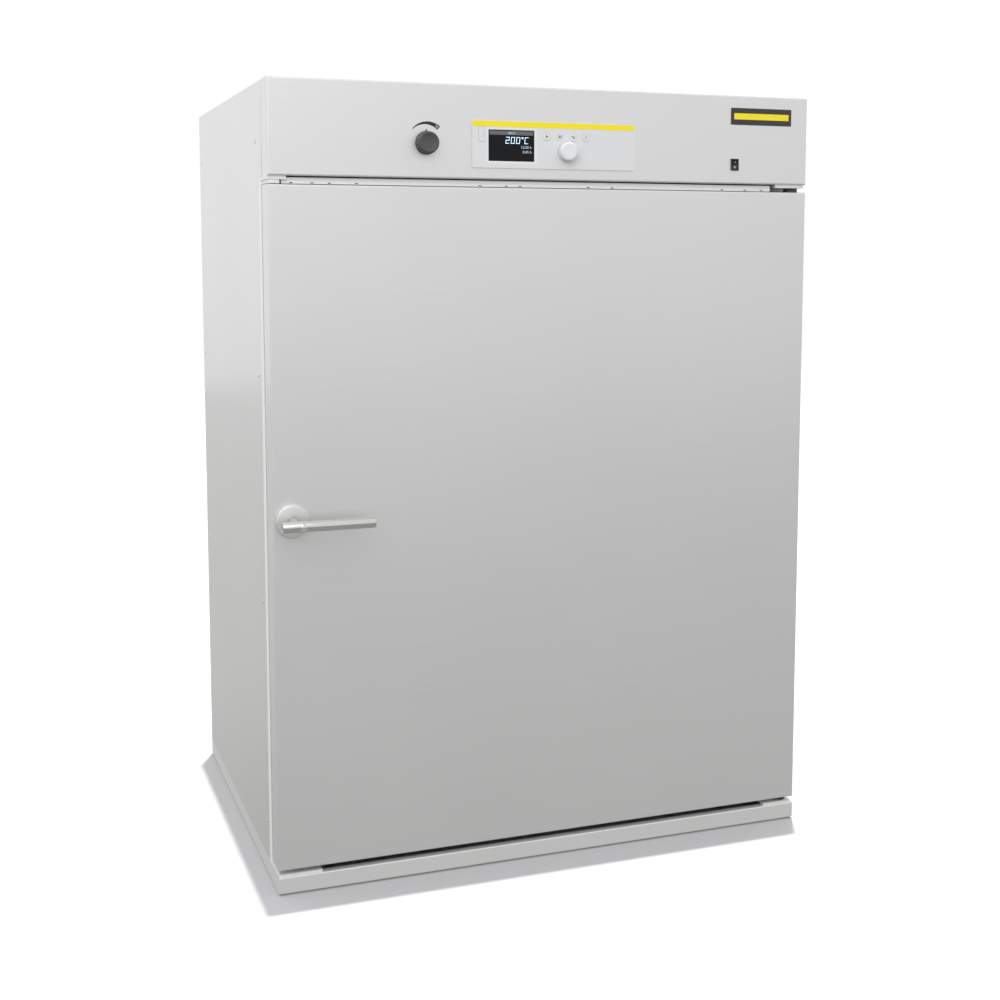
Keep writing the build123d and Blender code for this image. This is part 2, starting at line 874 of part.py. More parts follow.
def hinge_plate_outline():
    x1 = half_width - hinge_plate_inset
    return (x1 - hinge_plate_length, x1, y_front + hinge_plate_front, y_frame)


def hinge_plate_lower():
    plate = block(*hinge_plate_outline(), z_tray_top, z_tray_top + hinge_plate_thickness)
    return plate - rod_z(hinge_x, y_hinge, z_tray_top, z_tray_top + hinge_plate_thickness, pin_radius)


def hinge_plate_upper():
    plate = block(*hinge_plate_outline(), z_fascia - upper_plate_thickness, z_fascia)
    return plate - rod_z(hinge_x, y_hinge, z_fascia - upper_plate_thickness, z_fascia, pin_radius)


def blank_hinge_plates():
    plates = []
    x = hinge_plate_inset - half_width
    y0 = y_front + hinge_plate_front
    for length in blank_plate_lengths:
        plates.append(block(x, x + length - bearing_gap, y0, y_frame,
                            z_tray_top, z_tray_top + hinge_plate_thickness))
        x += length
    x = -half_width
    plates.append(block(x, x + blank_upper_length, y0, y_frame,
                        z_fascia - upper_plate_thickness, z_fascia))
    return group(plates)


def hinge_pins():
    lower = z_tray_top + hinge_plate_thickness
    upper = z_fascia - upper_plate_thickness
    return group([
        rod_z(hinge_x, y_hinge, z_tray_top, lower + pin_length, pin_radius),
        rod_z(hinge_x, y_hinge, upper - pin_length, z_fascia, pin_radius),
    ])


def hinge_bushes():
    def bush(z_flange, z_door, way):
        z0, z1 = sorted((z_flange, z_door))
        ring = rod_z(hinge_x, y_hinge, z0, z1, bush_flange)
        z0, z1 = sorted((z_door, z_door + way * bush_length))
        ring += rod_z(hinge_x, y_hinge, z0, z1, pin_radius + bush_wall)
        z0, z1 = sorted((z_flange, z_door + way * bush_length))
        return ring - rod_z(hinge_x, y_hinge, z0, z1, pin_radius + pin_clearance)
    lower = z_tray_top + hinge_plate_thickness + bearing_gap
    upper = z_fascia - upper_plate_thickness - bearing_gap
    return group([bush(lower, z_door_bottom, 1), bush(upper, z_door_top, -1)])


# Door

def door_shell():
    shell = block(-half_width, half_width, y_front, y_door_back, z_door_bottom, z_door_top)
    shell = round_front(shell, edge_radius)
    shell -= block(-half_inner, half_inner, y_front + skin, y_door_back,
                   z_door_bottom + skin, z_door_top - skin)
    shell -= rod_y(lever_x, y_front, y_front + skin, lever_height, spindle_hole)
    barrel = pin_radius + bush_wall
    shell -= rod_z(hinge_x, y_hinge, z_door_bottom, z_door_bottom + skin, barrel)
    return shell - rod_z(hinge_x, y_hinge, z_door_top - skin, z_door_top, barrel)


def plug_outline(inset):
    half = half_chamber - plug_margin - inset
    return (-half, half, chamber_floor + plug_margin + inset, z_ceiling - plug_margin - inset)


def door_inner_panel():
    z0 = z_door_bottom + skin
    z1 = z_door_top - skin
    panel = block(-half_inner, half_inner, y_door_back - skin, y_door_back, z0, z1)
    px0, px1, pz0, pz1 = plug_outline(0)
    panel += block(px0, px1, y_door_back - skin, y_panel, pz0, pz1)
    px0, px1, pz0, pz1 = plug_outline(liner_sheet)
    panel -= block(px0, px1, y_door_back - skin, y_panel - liner_sheet, pz0, pz1)
    return panel - rod_y(lever_x, y_door_back - skin, y_door_back, lever_height, spindle_hole)


def door_insulation():
    fill = block(-half_inner + door_lock_channel, half_inner - door_hinge_channel,
                 y_front + skin, y_door_back - skin, z_door_bottom + skin, z_door_top - skin)
    px0, px1, pz0, pz1 = plug_outline(liner_sheet)
    return fill + block(px0, px1, y_door_back - skin, y_panel - liner_sheet, pz0, pz1)


def door_gasket():
    def ring(margin):
        half = half_chamber + margin
        return block(-half, half, y_door_back, y_frame - gasket_clearance,
                     chamber_floor - margin, z_ceiling + margin)
    return ring(gasket_margin + gasket_width) - ring(gasket_margin)


# Lever and latch

def lever_rose():
    rose = rod_y(lever_x, y_front - rose_thickness, y_front, lever_height, rose_radius)
    rose = round_front(rose, rose_edge)
    return rose - rod_y(lever_x, y_front - rose_thickness, y_front, lever_height, neck_radius + pin_clearance)


def lever_handle():
    y_bar = y_front - lever_standoff
    x0 = lever_x - lever_overhang
    bar = rod_x(x0, x0 + lever_bar_length, y_bar, lever_height, lever_bar_radius)
    bar = fillet(bar.edges().filter_by(GeomType.CIRCLE), 1)
    bar += rod_y(lever_x, y_bar, y_front - bearing_gap, lever_height, neck_radius)
    button_x = lever_x + button_from_axis
    bar += rod_y(button_x, y_front - lever_reach, y_bar, lever_height, button_radius)
    return bar - spindle(y_spindle())


def y_spindle():
    return y_front - rose_thickness - spindle_engagement


def spindle(y0):
    side = spindle_side / 2
    return block(lever_x - side, lever_x + side, y0, y_tongue() + tongue_thickness,
                 lever_height - side, lever_height + side)


def y_tongue():
    return y_frame + tongue_set_back


def latch_spindle():
    return spindle(y_spindle())


def latch_tongue():
    y0 = y_tongue()
    y1 = y0 + tongue_thickness
    tongue = rod_y(lever_x, y0, y1, lever_height, tongue_hub)
    half = tongue_width / 2
    tongue += block(lever_x - half, lever_x + half, y0, y1, lever_height - tongue_length, lever_height)
    return tongue - spindle(y0)


def latch_keeper():
    x0, x1 = lever_x - keeper_half, lever_x + keeper_half
    z0, z1 = lever_height - keeper_below, lever_height + keeper_above
    y0 = y_frame + skin
    box = block(x0 - keeper_wall, x1 + keeper_wall, y0, y0 + keeper_depth + keeper_wall,
                z0 - keeper_wall, z1 + keeper_wall)
    return box - block(x0, x1, y0, y0 + keeper_depth, z0, z1)


pieces = {
    "base_tray": base_tray(),
    "floor_pads": floor_pads(),
    "base_plate": base_plate(),
    "side_panel_right": side_panel(),
    "side_panel_left": mirrored(side_panel()),
    "top_panel": top_panel(),
    "rear_panel": rear_panel(),
    "panel_screws": panel_screws(),
    "front_frame": front_frame(),
    "fascia": fascia(),
    "control_deck": control_deck(),
    "liner": liner(),
    "insulation_slabs": insulation_slabs(),
    "air_baffle": air_baffle(),
    "shelf_rack_right": shelf_rack(),
    "shelf_rack_left": mirrored(shelf_rack()),
    "wire_grid_lower": wire_grid(rail_tops[0]),
    "wire_grid_upper": wire_grid(rail_tops[-2]),
    "fan_impeller": fan_impeller(),
    "fan_shaft": fan_shaft(),
    "fan_motor": fan_motor(),
    "motor_cover": motor_cover(),
    "ring_heater": ring_heater(),
    "temperature_probe": temperature_probe(),
    "exhaust_box": exhaust_box(),
    "exhaust_stub": exhaust_stub(),
    "damper_shutter": damper_shutter(),
    "damper_shaft": damper_shaft(),
    "damper_bushes": damper_bushes(),
    "exhaust_knob": exhaust_knob(),
    "controller_bezel": controller_bezel(),
    "controller_housing": controller_housing(),
    "display_lens": display_lens(),
    "jog_shaft": jog_shaft(),
    "jog_dial": jog_dial(),
    "usb_flap": usb_flap(),
    "usb_socket": usb_socket(),
    "switch_bezel": switch_bezel(),
    "switch_rocker": switch_rocker(),
    "blank_plate": blank_plate(),
    "relay_block": relay_block(),
    "cable_gland": cable_gland(),
    "hinge_plate_lower": hinge_plate_lower(),
    "hinge_plate_upper": hinge_plate_upper(),
    "blank_hinge_plates": blank_hinge_plates(),
    "hinge_pins": hinge_pins(),
    "hinge_bushes": hinge_bushes(),
    "door_shell": door_shell(),
    "door_inner_panel": door_inner_panel(),
    "door_insulation": door_insulation(),
    "door_gasket": door_gasket(),
    "lever_rose": lever_rose(),
    "lever_handle": lever_handle(),
    "latch_spindle": latch_spindle(),
    "latch_tongue": latch_tongue(),
    "latch_keeper": latch_keeper(),
}
for name, x in key_places.items():
    pieces[name] = key(x)

for name, shape in pieces.items():
    export_step(shape, f"parts/{name}.step")
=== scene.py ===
"""Finishes and fine details of a floor-standing drying oven, laid out as an add-on."""

import math

import bmesh
import bpy
from bpy.props import FloatProperty, FloatVectorProperty, PointerProperty
from mathutils import Matrix, Vector


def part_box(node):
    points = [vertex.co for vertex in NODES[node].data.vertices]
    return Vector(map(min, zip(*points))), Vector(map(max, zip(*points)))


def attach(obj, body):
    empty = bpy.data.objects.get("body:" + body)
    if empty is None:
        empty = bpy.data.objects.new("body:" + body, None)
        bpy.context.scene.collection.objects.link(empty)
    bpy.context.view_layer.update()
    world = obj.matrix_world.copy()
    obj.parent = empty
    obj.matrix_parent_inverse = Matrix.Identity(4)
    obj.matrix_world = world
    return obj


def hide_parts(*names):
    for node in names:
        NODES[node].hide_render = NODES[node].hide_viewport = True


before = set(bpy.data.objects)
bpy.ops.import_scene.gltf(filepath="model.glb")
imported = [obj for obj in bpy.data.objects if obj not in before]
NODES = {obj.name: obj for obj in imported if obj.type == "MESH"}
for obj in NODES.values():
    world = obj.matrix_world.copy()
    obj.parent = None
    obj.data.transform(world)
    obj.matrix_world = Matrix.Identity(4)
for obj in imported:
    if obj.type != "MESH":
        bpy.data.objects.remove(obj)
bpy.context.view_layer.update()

bl_info = {
    "name": "Drying Oven Finish",
    "version": (1, 0, 0),
    "blender": (4, 5, 0),
    "location": "View3D > Sidebar > Oven",
    "description": "Finishes and fine details of a drying oven, built around its solid model",
    "category": "Object",
}

MM = 0.001


def low(node):
    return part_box(node)[0]


def high(node):
    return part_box(node)[1]


def middle(node):
    lo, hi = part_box(node)
    return (Vector(lo) + Vector(hi)) / 2


# X places of the dark films that paint the shade of the small slot openings over the door.
SLOT_SHADE_X = (-0.46, -0.425, -0.396, -0.35, -0.134, -0.086, -0.061, 0.067, 0.113, 0.331, 0.378,
               0.412)
STRIP_ENDS = (-476 * MM, 430 * MM)
SCREW_FROM_EDGE = 25 * MM
SMOOTH_BELOW = 35
BREAK_ABOVE = math.radians(50)
TOUCHING = 1e-7
FRONT = low("fascia")[1]
DOOR_FRONT = low("door_shell")[1]


# Settings

def number_setting(name, description, smallest, largest, default, **kind):
    return FloatProperty(name=name, description=description, min=smallest, max=largest,
                         default=default, **kind)


def length_setting(*values):
    return number_setting(*values, subtype="DISTANCE", unit="LENGTH")


def angle_setting(*values):
    return number_setting(*values, subtype="ANGLE")


def share_setting(name, description, default):
    return number_setting(name, description, 0, 1, default, subtype="FACTOR")


def colour_setting(name, description, default, largest=1):
    return FloatVectorProperty(name=name, description=description, subtype="COLOR", size=3, min=0,
                               max=largest, default=default)


def place_setting(name, description, default):
    return FloatVectorProperty(name=name, description=description, subtype="TRANSLATION",
                               unit="LENGTH", size=len(default), default=default)


class FinishSettings(bpy.types.PropertyGroup):
    """Colours and roughness of the oven's finishes"""

    steel: colour_setting("Steel", "Colour of the brushed outer sheets", (0.75, 0.75, 0.753))
    steel_roughness: share_setting(
        "Steel roughness", "How far the outer sheets blur what they mirror", 0.55)
    polish: share_setting(
        "Polish", "Share of the sharper reflection on the outer sheets", 0.5)
    grain: share_setting("Grain", "Strength of the brushing lines", 0.5)
    yellow: colour_setting(
        "Yellow", "Colour of the controller's stripe and the plate's band", (0.94, 0.80, 0.012))
    bezel: colour_setting("Bezel", "Colour of the controller's panel", (0.75, 0.755, 0.765))
    knob: colour_setting("Knob", "Colour of the exhaust knob", (0.07, 0.066, 0.062))
    digits: colour_setting("Digits", "Colour of the lit digits", (0.62, 0.80, 0.92))


class DetailSettings(bpy.types.PropertyGroup):
    """Sizes of the details that the solid model leaves out"""

    edge_break: length_setting(
        "Edge break", "Radius of the folded and deburred sheet edges", 0.0001, 0.002, 0.0007)
    stripe_height: length_setting(
        "Stripe height", "Height of the yellow stripe on the controller", 0.002, 0.02, 0.0098)
    scale_radius: length_setting(
        "Scale radius", "Middle radius of the printed opening scale", 0.02, 0.05, 0.0330)
    scale_start: angle_setting(
        "Scale start", "Angle at which the scale begins, left of upright", -math.pi, 0,
        math.radians(-47))
    scale_end: angle_setting(
        "Scale end", "Angle at which the scale ends, right of upright", 0, math.pi,
        math.radians(41))
    scale_thin: length_setting(
        "Thin end", "Width of the scale where the outlet is shut", 0.0002, 0.004, 0.0011)
    scale_thick: length_setting(
        "Thick end", "Width of the scale where the outlet is open", 0.002, 0.012, 0.0078)
    print_depth: length_setting(
        "Print thickness", "Thickness of printed films and labels", 0.00005, 0.0005, 0.00015)


class StageSettings(bpy.types.PropertyGroup):
    """Camera, floor and lights"""

    place: place_setting("Camera place", "Where the camera stands", (-0.9390, -2.6850, 1.0867))
    turn: angle_setting(
        "Turn", "How far the camera is turned to the right", -math.pi, math.pi, 0.3476)
    pitch: angle_setting("Pitch", "How far the camera looks down", -1.5, 1.5, 0.1022)
    lens: number_setting("Lens", "Focal length in millimetres for a 36 mm frame", 10, 200, 51.35)
    shift: number_setting("Shift", "Vertical shift of the lens", -0.5, 0.5, -0.10)
    floor: colour_setting(
        "Floor", "Light that the floor sends back to the object", (0.42, 0.415, 0.405))
    paper: colour_setting(
        "Backdrop", "Colour of the floor as the camera sees it", (0.47, 0.47, 0.475))
    key_power: number_setting("Key light", "Power of the large soft light in watts", 0, 500, 34)
    sun_power: number_setting(
        "Overhead light", "Strength of the light that draws the shadow", 0, 10, 4.1)
    shadow_reach: place_setting(
        "Shadow reach", "How far the shadow of the top reaches past the base", (-0.034, -0.068))
    sky: colour_setting("Sky", "Light of the studio", (1.0, 1.005, 1.02), 2)
    far_side: share_setting("Far side", "Light from the right against light from the left", 0.9)
    sky_peak: number_setting("Sky peak", "Brightness of the studio at half height", 0, 4, 1.5)
    back_light: number_setting(
        "Back light", "Light from behind the object against light from the front", 0, 3, 1.3)


def finishes():
    return bpy.context.scene.oven_finish


def details():
    return bpy.context.scene.oven_detail


# Finishes

MADE = {}

# Colour or the name of its setting, roughness, metallic, spacing of the noise, variation of the
# colour, change of roughness, strength of the relief, its depth in millimetres, coat, specular.
PLAIN = {
    # Turned face of the rose, finely textured.
    "satin_steel": ((0.74, 0.735, 0.725), 0.52, 1.0, 900, 0.07, 0.08, 0.18, 0.06),
    "bright_steel": ((0.74, 0.74, 0.735), 0.24, 1.0, (120, 120, 700), 0.04, 0.05, 0.06, 0.05),
    "handle_steel": ((0.62, 0.615, 0.60), 0.18, 1.0, (1600, 260, 260), 0.05, 0.04, 0.1, 0.04),
    # Pale matt plating of the hinge plates.
    "plate_zinc": ((0.80, 0.80, 0.79), 0.5, 0.35, 220, 0.05, 0.05, 0.06, 0.05),
    "grid_steel": ((0.72, 0.72, 0.71), 0.2, 1.0, 40, 0.06, 0.05, 0.05, 0.2),
    "zinc_sheet": ((0.52, 0.535, 0.54), 0.42, 0.9, 70, 0.07, 0.1, 0.05, 0.2),
    "bezel_plastic": ("bezel", 0.42, 0.0, 1500, 0.012, 0.05, 0.04, 0.03),
    "white_plastic": ((0.80, 0.805, 0.815), 0.35, 0.0, 1200, 0.01, 0.05, 0.03, 0.02, 0.15),
    "key_plastic": ((0.76, 0.765, 0.775), 0.38, 0.0, 1500, 0.012, 0.05, 0.03, 0.02),
    "knob_plastic": ("knob", 0.46, 0.0, 1300, 0.12, 0.05, 0.25, 0.05),
    "black_plastic": ((0.012, 0.012, 0.013), 0.4, 0.0, 1100, 0.15, 0.05, 0.2, 0.04),
    "display_glass": ((0.008, 0.009, 0.011), 0.16, 0.0, 30, 0.1, 0.02, 0.0, 0.2, 0.0, 0.12),
    "yellow_film": ("yellow", 0.38, 0.0, 500, 0.015, 0.05, 0.02, 0.02),
    "black_ink": ((0.012, 0.012, 0.012), 0.5, 0.0, 900, 0.15, 0.05, 0.03, 0.02),
    "grey_ink": ((0.13, 0.135, 0.14), 0.5, 0.0, 900, 0.08, 0.05, 0.03, 0.02),
    # Grey film for painted shade: rings round the keys and the dial, and the flap's notch.
    "pale_ink": ((0.60, 0.605, 0.615), 0.45, 0.0, 900, 0.03, 0.05, 0.03, 0.02),
    "white_ink": ((0.86, 0.86, 0.86), 0.45, 0.0, 900, 0.02, 0.05, 0.03, 0.02),
    "black_gloss": ((0.011, 0.011, 0.012), 0.2, 0.0, 200, 0.1, 0.04, 0.03, 0.03, 0.3),
    "hard_rubber": ((0.022, 0.022, 0.022), 0.7, 0.0, 700, 0.2, 0.05, 0.3, 0.1),
    "silicone": ((0.075, 0.072, 0.07), 0.55, 0.0, 300, 0.12, 0.05, 0.15, 0.1),
    "mineral_wool": ((0.50, 0.44, 0.27), 0.95, 0.0, (90, 90, 420), 0.25, 0.05, 0.8, 2.0),
    "motor_paint": ((0.045, 0.05, 0.058), 0.42, 0.0, 600, 0.12, 0.05, 0.25, 0.1),
    "heater_sheath": ((0.20, 0.17, 0.15), 0.5, 0.7, 110, 0.25, 0.05, 0.2, 0.2),
    "bearing_metal": ((0.60, 0.46, 0.22), 0.35, 1.0, (200, 200, 900), 0.1, 0.05, 0.08, 0.2),
    "dark_moulding": ((0.035, 0.036, 0.04), 0.5, 0.0, 800, 0.12, 0.05, 0.2, 0.05),
}

# Density of the grain along X, Y and Z: level on the upright sheets, and from left to right on
# the sheet that lies flat.
OUTER_GRAIN = {"steel_level": (4, 4, 900), "steel_top": (4, 900, 900)}

# Colour, roughness, density of the grain, strength of the grain, polish, metallic. The base and the
# strip behind the door lie in the shade; the frame steel is paler and less metallic than the outer
# sheets, painted light that keeps the shaded strip pale.
BRUSHED = {
    "tray_steel": ((0.74, 0.735, 0.73), 0.55, (4, 4, 700), 0.5, 0.0, 0.55),
    "frame_steel": ((0.86, 0.86, 0.855), 0.6, (4, 4, 500), 0.4, 0.0, 0.25),
    "chamber_steel": ((0.62, 0.615, 0.60), 0.34, (5, 5, 600), 0.8),
}

# Share of the digits' colour, and strength of the light.
LIT = {"display_digits": (1.0, 0.75), "display_small_digits": (0.62, 0.5)}


def scaled(colour, factor):
    return tuple(min(1.0, channel * factor) for channel in colour[:3]) + (1.0,)


def set_inputs(node, values):
    for socket, value in values.items():
        node.inputs[socket].default_value = value


def add_node(tree, kind, values=None, operation=None):
    node = tree.nodes.new("ShaderNode" + kind)
    if operation:
        node.operation = operation
    set_inputs(node, values or {})
    return node


def add_mix(tree, first, second):
    """Adds a mix of two colours. first may be None where a link gives it."""
    mix = add_node(tree, "Mix")
    mix.data_type = "RGBA"
    if first:
        mix.inputs["A"].default_value = first
    mix.inputs["B"].default_value = second
    return mix


def wire(tree, *links):
    """Joins sockets. Each link names a node and its output, then a node and its input."""
    for source, output, target, entry in links:
        tree.links.new(source.outputs[output], target.inputs[entry])


def surface(name, colour, roughness, metallic, spacing, variation, rough_change, bump, depth,
            coat=0.0, specular=0.5):
    """A finish whose colour, roughness and relief follow one noise, stretched by spacing."""
    material = bpy.data.materials.new(name)
    material.use_nodes = True
    tree = material.node_tree
    shader = tree.nodes["Principled BSDF"]
    set_inputs(shader, {"Metallic": metallic, "Coat Weight": coat, "Specular IOR Level": specular})
    place = add_node(tree, "TexCoord")
    stretch = add_node(tree, "Mapping", {
        "Scale": spacing if isinstance(spacing, tuple) else (spacing, spacing, spacing)})
    noise = add_node(tree, "TexNoise", {"Scale": 1.0, "Detail": 4.0, "Roughness": 0.6})
    tint = add_node(tree, "ValToRGB")
    for mark, position, factor in zip(tint.color_ramp.elements, (0.3, 0.7),
                                      (1 - variation, 1 + variation)):
        mark.position = position
        mark.color = scaled(colour, factor)
    gloss = add_node(tree, "MapRange", {"To Min": max(0.02, roughness - rough_change),
                                        "To Max": min(1.0, roughness + rough_change)})
    relief = add_node(tree, "Bump", {"Strength": bump, "Distance": depth * MM})
    wire(tree, (place, "Object", stretch, "Vector"), (stretch, "Vector", noise, "Vector"),
         (noise, "Fac", tint, "Fac"), (noise, "Fac", gloss, "Value"),
         (noise, "Fac", relief, "Height"), (tint, "Color", shader, "Base Color"),
         (gloss, "Result", shader, "Roughness"), (relief, "Normal", shader, "Normal"))
    return material


def brushed(name, colour, roughness, lines, strength, polish=0.0, metallic=1.0):
    """Brushed sheet: fine lines over slow clouds. lines is their density along X, Y and Z."""
    material = surface(name, colour, roughness, metallic, lines, 0.035 * strength,
                       0.07 * strength, 0.10 * strength, 0.06, polish)
    tree = material.node_tree
    shader = tree.nodes["Principled BSDF"]
    set_inputs(shader, {"Coat Roughness": 0.2, "Coat IOR": 2.1})
    clouds = add_node(tree, "TexNoise", {"Scale": 2.6, "Detail": 3.0})
    tone = add_node(tree, "MapRange", {"To Min": 0.965, "To Max": 1.03})
    blend = add_node(tree, "VectorMath", operation="SCALE")
    wire(tree, (tree.nodes["Texture Coordinate"], "Object", clouds, "Vector"),
         (clouds, "Fac", tone, "Value"), (tree.nodes["Color Ramp"], "Color", blend, 0),
         (tone, "Result", blend, "Scale"), (blend, "Vector", shader, "Base Color"))
    return material


def lit(name, share, strength):
    """A lit part of the display, a little uneven as segments are."""
    colour = scaled(finishes().digits, share)
    material = surface(name, colour, 0.4, 0.0, 900, 0.1, 0.05, 0.05, 0.2)
    set_inputs(material.node_tree.nodes["Principled BSDF"],
               {"Emission Color": colour, "Emission Strength": strength})
    return material


def add_crystals(tree):
    """The patches of crystals on galvanised sheet."""
    cells = add_node(tree, "TexVoronoi", {"Scale": 1.0})
    wire(tree, (tree.nodes["Mapping"], "Vector", cells, "Vector"),
         (cells, "Distance", tree.nodes["Color Ramp"], "Fac"))


def make_finish(name):
    f = finishes()
    if name in OUTER_GRAIN:
        return brushed(name, f.steel, f.steel_roughness, OUTER_GRAIN[name], f.grain, f.polish)
    if name in BRUSHED:
        return brushed(name, *BRUSHED[name])
    if name in LIT:
        return lit(name, *LIT[name])
    colour, *values = PLAIN[name]
    material = surface(name, getattr(f, colour) if isinstance(colour, str) else colour, *values)
    if name == "zinc_sheet":
        add_crystals(material.node_tree)
    return material


def finish(name):
    """The finish with this name, made when it is first asked for."""
    if name not in MADE:
        MADE[name] = make_finish(name)
    return MADE[name]


# Mesh tools

def link(obj, body, look, smooth_angle=None):
    """Puts a new piece into the scene with its body and finish. Angles in degrees."""
    bpy.context.scene.collection.objects.link(obj)
    obj.data.materials.clear()
    obj.data.materials.append(finish(look))
    if smooth_angle is not None:
        for polygon in obj.data.polygons:
            polygon.use_smooth = True
        obj.data.set_sharp_from_angle(angle=math.radians(smooth_angle))
    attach(obj, body)
    return obj


def from_bmesh(name, bm, body, look):
    bmesh.ops.recalc_face_normals(bm, faces=bm.faces)
    mesh = bpy.data.meshes.new(name)
    bm.to_mesh(mesh)
    bm.free()
    return link(bpy.data.objects.new(name, mesh), body, look, SMOOTH_BELOW)


AXES = {
    "-Y": Matrix.Rotation(math.pi / 2, 4, "X"),
    "+Y": Matrix.Rotation(-math.pi / 2, 4, "X"),
    "+X": Matrix.Rotation(math.pi / 2, 4, "Y"),
    "-X": Matrix.Rotation(-math.pi / 2, 4, "Y"),
    "+Z": Matrix.Identity(4),
    "-Z": Matrix.Rotation(math.pi, 4, "X"),
}


def add_lathe(bm, profile, place, way, segments=48):
    """Adds a turned form. profile lists (radius, height), where height runs along way."""
    turn = Matrix.Translation(place) @ AXES[way]
    rings = []
    for radius, height in profile:
        if radius < TOUCHING:
            rings.append([bm.verts.new(turn @ Vector((0, 0, height)))])
            continue
        ring = []
        for step in range(segments):
            angle = 2 * math.pi * step / segments
            point = Vector((radius * math.cos(angle), radius * math.sin(angle), height))
            ring.append(bm.verts.new(turn @ point))
        rings.append(ring)
    for first, second in zip(rings, rings[1:]):
        for step in range(segments):
            ahead = (step + 1) % segments
            corners = [first[step % len(first)], first[ahead % len(first)],
                       second[ahead % len(second)], second[step % len(second)]]
            unique = list(dict.fromkeys(corners))
            if len(unique) > 2:
                bm.faces.new(unique)


def lathe(name, profile, place, way, body, look, segments=48):
    bm = bmesh.new()
    add_lathe(bm, profile, place, way, segments)
    return from_bmesh(name, bm, body, look)


def rounded(radius, low_corner, high_corner, steps=4):
    """Points of a rectangle in X and Z with round corners, anticlockwise from the bottom right."""
    x0, z0 = low_corner
    x1, z1 = high_corner
    centres = [(x1 - radius, z0 + radius, -90), (x1 - radius, z1 - radius, 0),
               (x0 + radius, z1 - radius, 90), (x0 + radius, z0 + radius, 180)]
    points = []
    for x, z, start in centres:
        for step in range(steps + 1):
            angle = math.radians(start + 90 * step / steps)
            points.append((x + radius * math.cos(angle), z + radius * math.sin(angle)))
    return points


def add_prism(bm, outline, y0, y1):
    """Adds a slab whose outline lies in X and Z, from y0 to y1."""
    near = [bm.verts.new((x, y0, z)) for x, z in outline]
    far = [bm.verts.new((x, y1, z)) for x, z in outline]
    bm.faces.new(near)
    bm.faces.new(list(reversed(far)))
    for index in range(len(outline)):
        ahead = (index + 1) % len(outline)
        bm.faces.new([near[index], far[index], far[ahead], near[ahead]])


def prism(name, outline, y0, y1, body, slot, look, bevel=0.0):
    bm = bmesh.new()
    add_prism(bm, outline, y0, y1)
    if bevel:
        front = [edge for edge in bm.edges
                 if all(abs(vert.co.y - y0) < TOUCHING for vert in edge.verts)]
        bmesh.ops.bevel(bm, geom=front, offset=bevel, segments=3, affect="EDGES", profile=0.6)
    return from_bmesh(name, bm, body, look)


def ring_outline(centre, radius, width, start, end, steps=40):
    """A band along an arc in X and Z. Angles run clockwise from upright, and width takes 0 to 1."""
    outer, inner = [], []
    for step in range(steps + 1):
        share = step / steps
        angle = start + (end - start) * share
        half = width(share) / 2
        for points, reach in ((outer, radius + half), (inner, radius - half)):
            points.append((centre[0] + reach * math.sin(angle),
                           centre[1] + reach * math.cos(angle)))
    return outer + inner[::-1]


def add_frame(bm, outer, inner, y0, y1):
    """Adds a flat frame between two outlines with the same number of points."""
    rings = [[bm.verts.new((x, y, z)) for x, z in outline]
             for outline, y in ((outer, y0), (inner, y0), (inner, y1), (outer, y1))]
    for first, second in zip(rings, rings[1:] + rings[:1]):
        for index in range(len(outer)):
            ahead = (index + 1) % len(outer)
            bm.faces.new([first[index], first[ahead], second[ahead], second[index]])


def add_loop(bm, centre, radius, width, y0, y1, steps=40):
    """Adds a closed flat ring."""
    band = ring_outline(centre, radius, lambda share: width, 0, 2 * math.pi, steps)
    inner = band[steps + 1:][::-1]
    add_frame(bm, band[:steps], inner[:steps], y0, y1)


def words(name, text, size, place, align):
    """A raised line of small digits on the display. place is its baseline point."""
    curve = bpy.data.curves.new(name, "FONT")
    curve.body = text
    curve.size = size
    curve.align_x = align
    curve.extrude = details().print_depth / 2
    curve.resolution_u = 3
    source = bpy.data.objects.new(name + "_source", curve)
    mesh = bpy.data.meshes.new_from_object(source)
    mesh.name = name
    bpy.data.objects.remove(source)
    mesh.transform(Matrix.Translation(place) @ Matrix.Rotation(math.pi / 2, 4, "X"))
    link(bpy.data.objects.new(name, mesh), "cabinet", "display_small_digits")


def dress(look, *nodes, edge=False):
    """Gives nodes of the solid model their finish, and breaks their edges where edge says so."""
    for node in nodes:
        obj = NODES[node]
        obj.data.materials.clear()
        obj.data.materials.append(finish(look))
        if edge:
            bevel = obj.modifiers.new("Edge break", "BEVEL")
            bevel.width = details().edge_break
            bevel.segments = 2
            bevel.limit_method = "ANGLE"
            bevel.angle_limit = BREAK_ABOVE
            bevel.use_clamp_overlap = True


# Operators

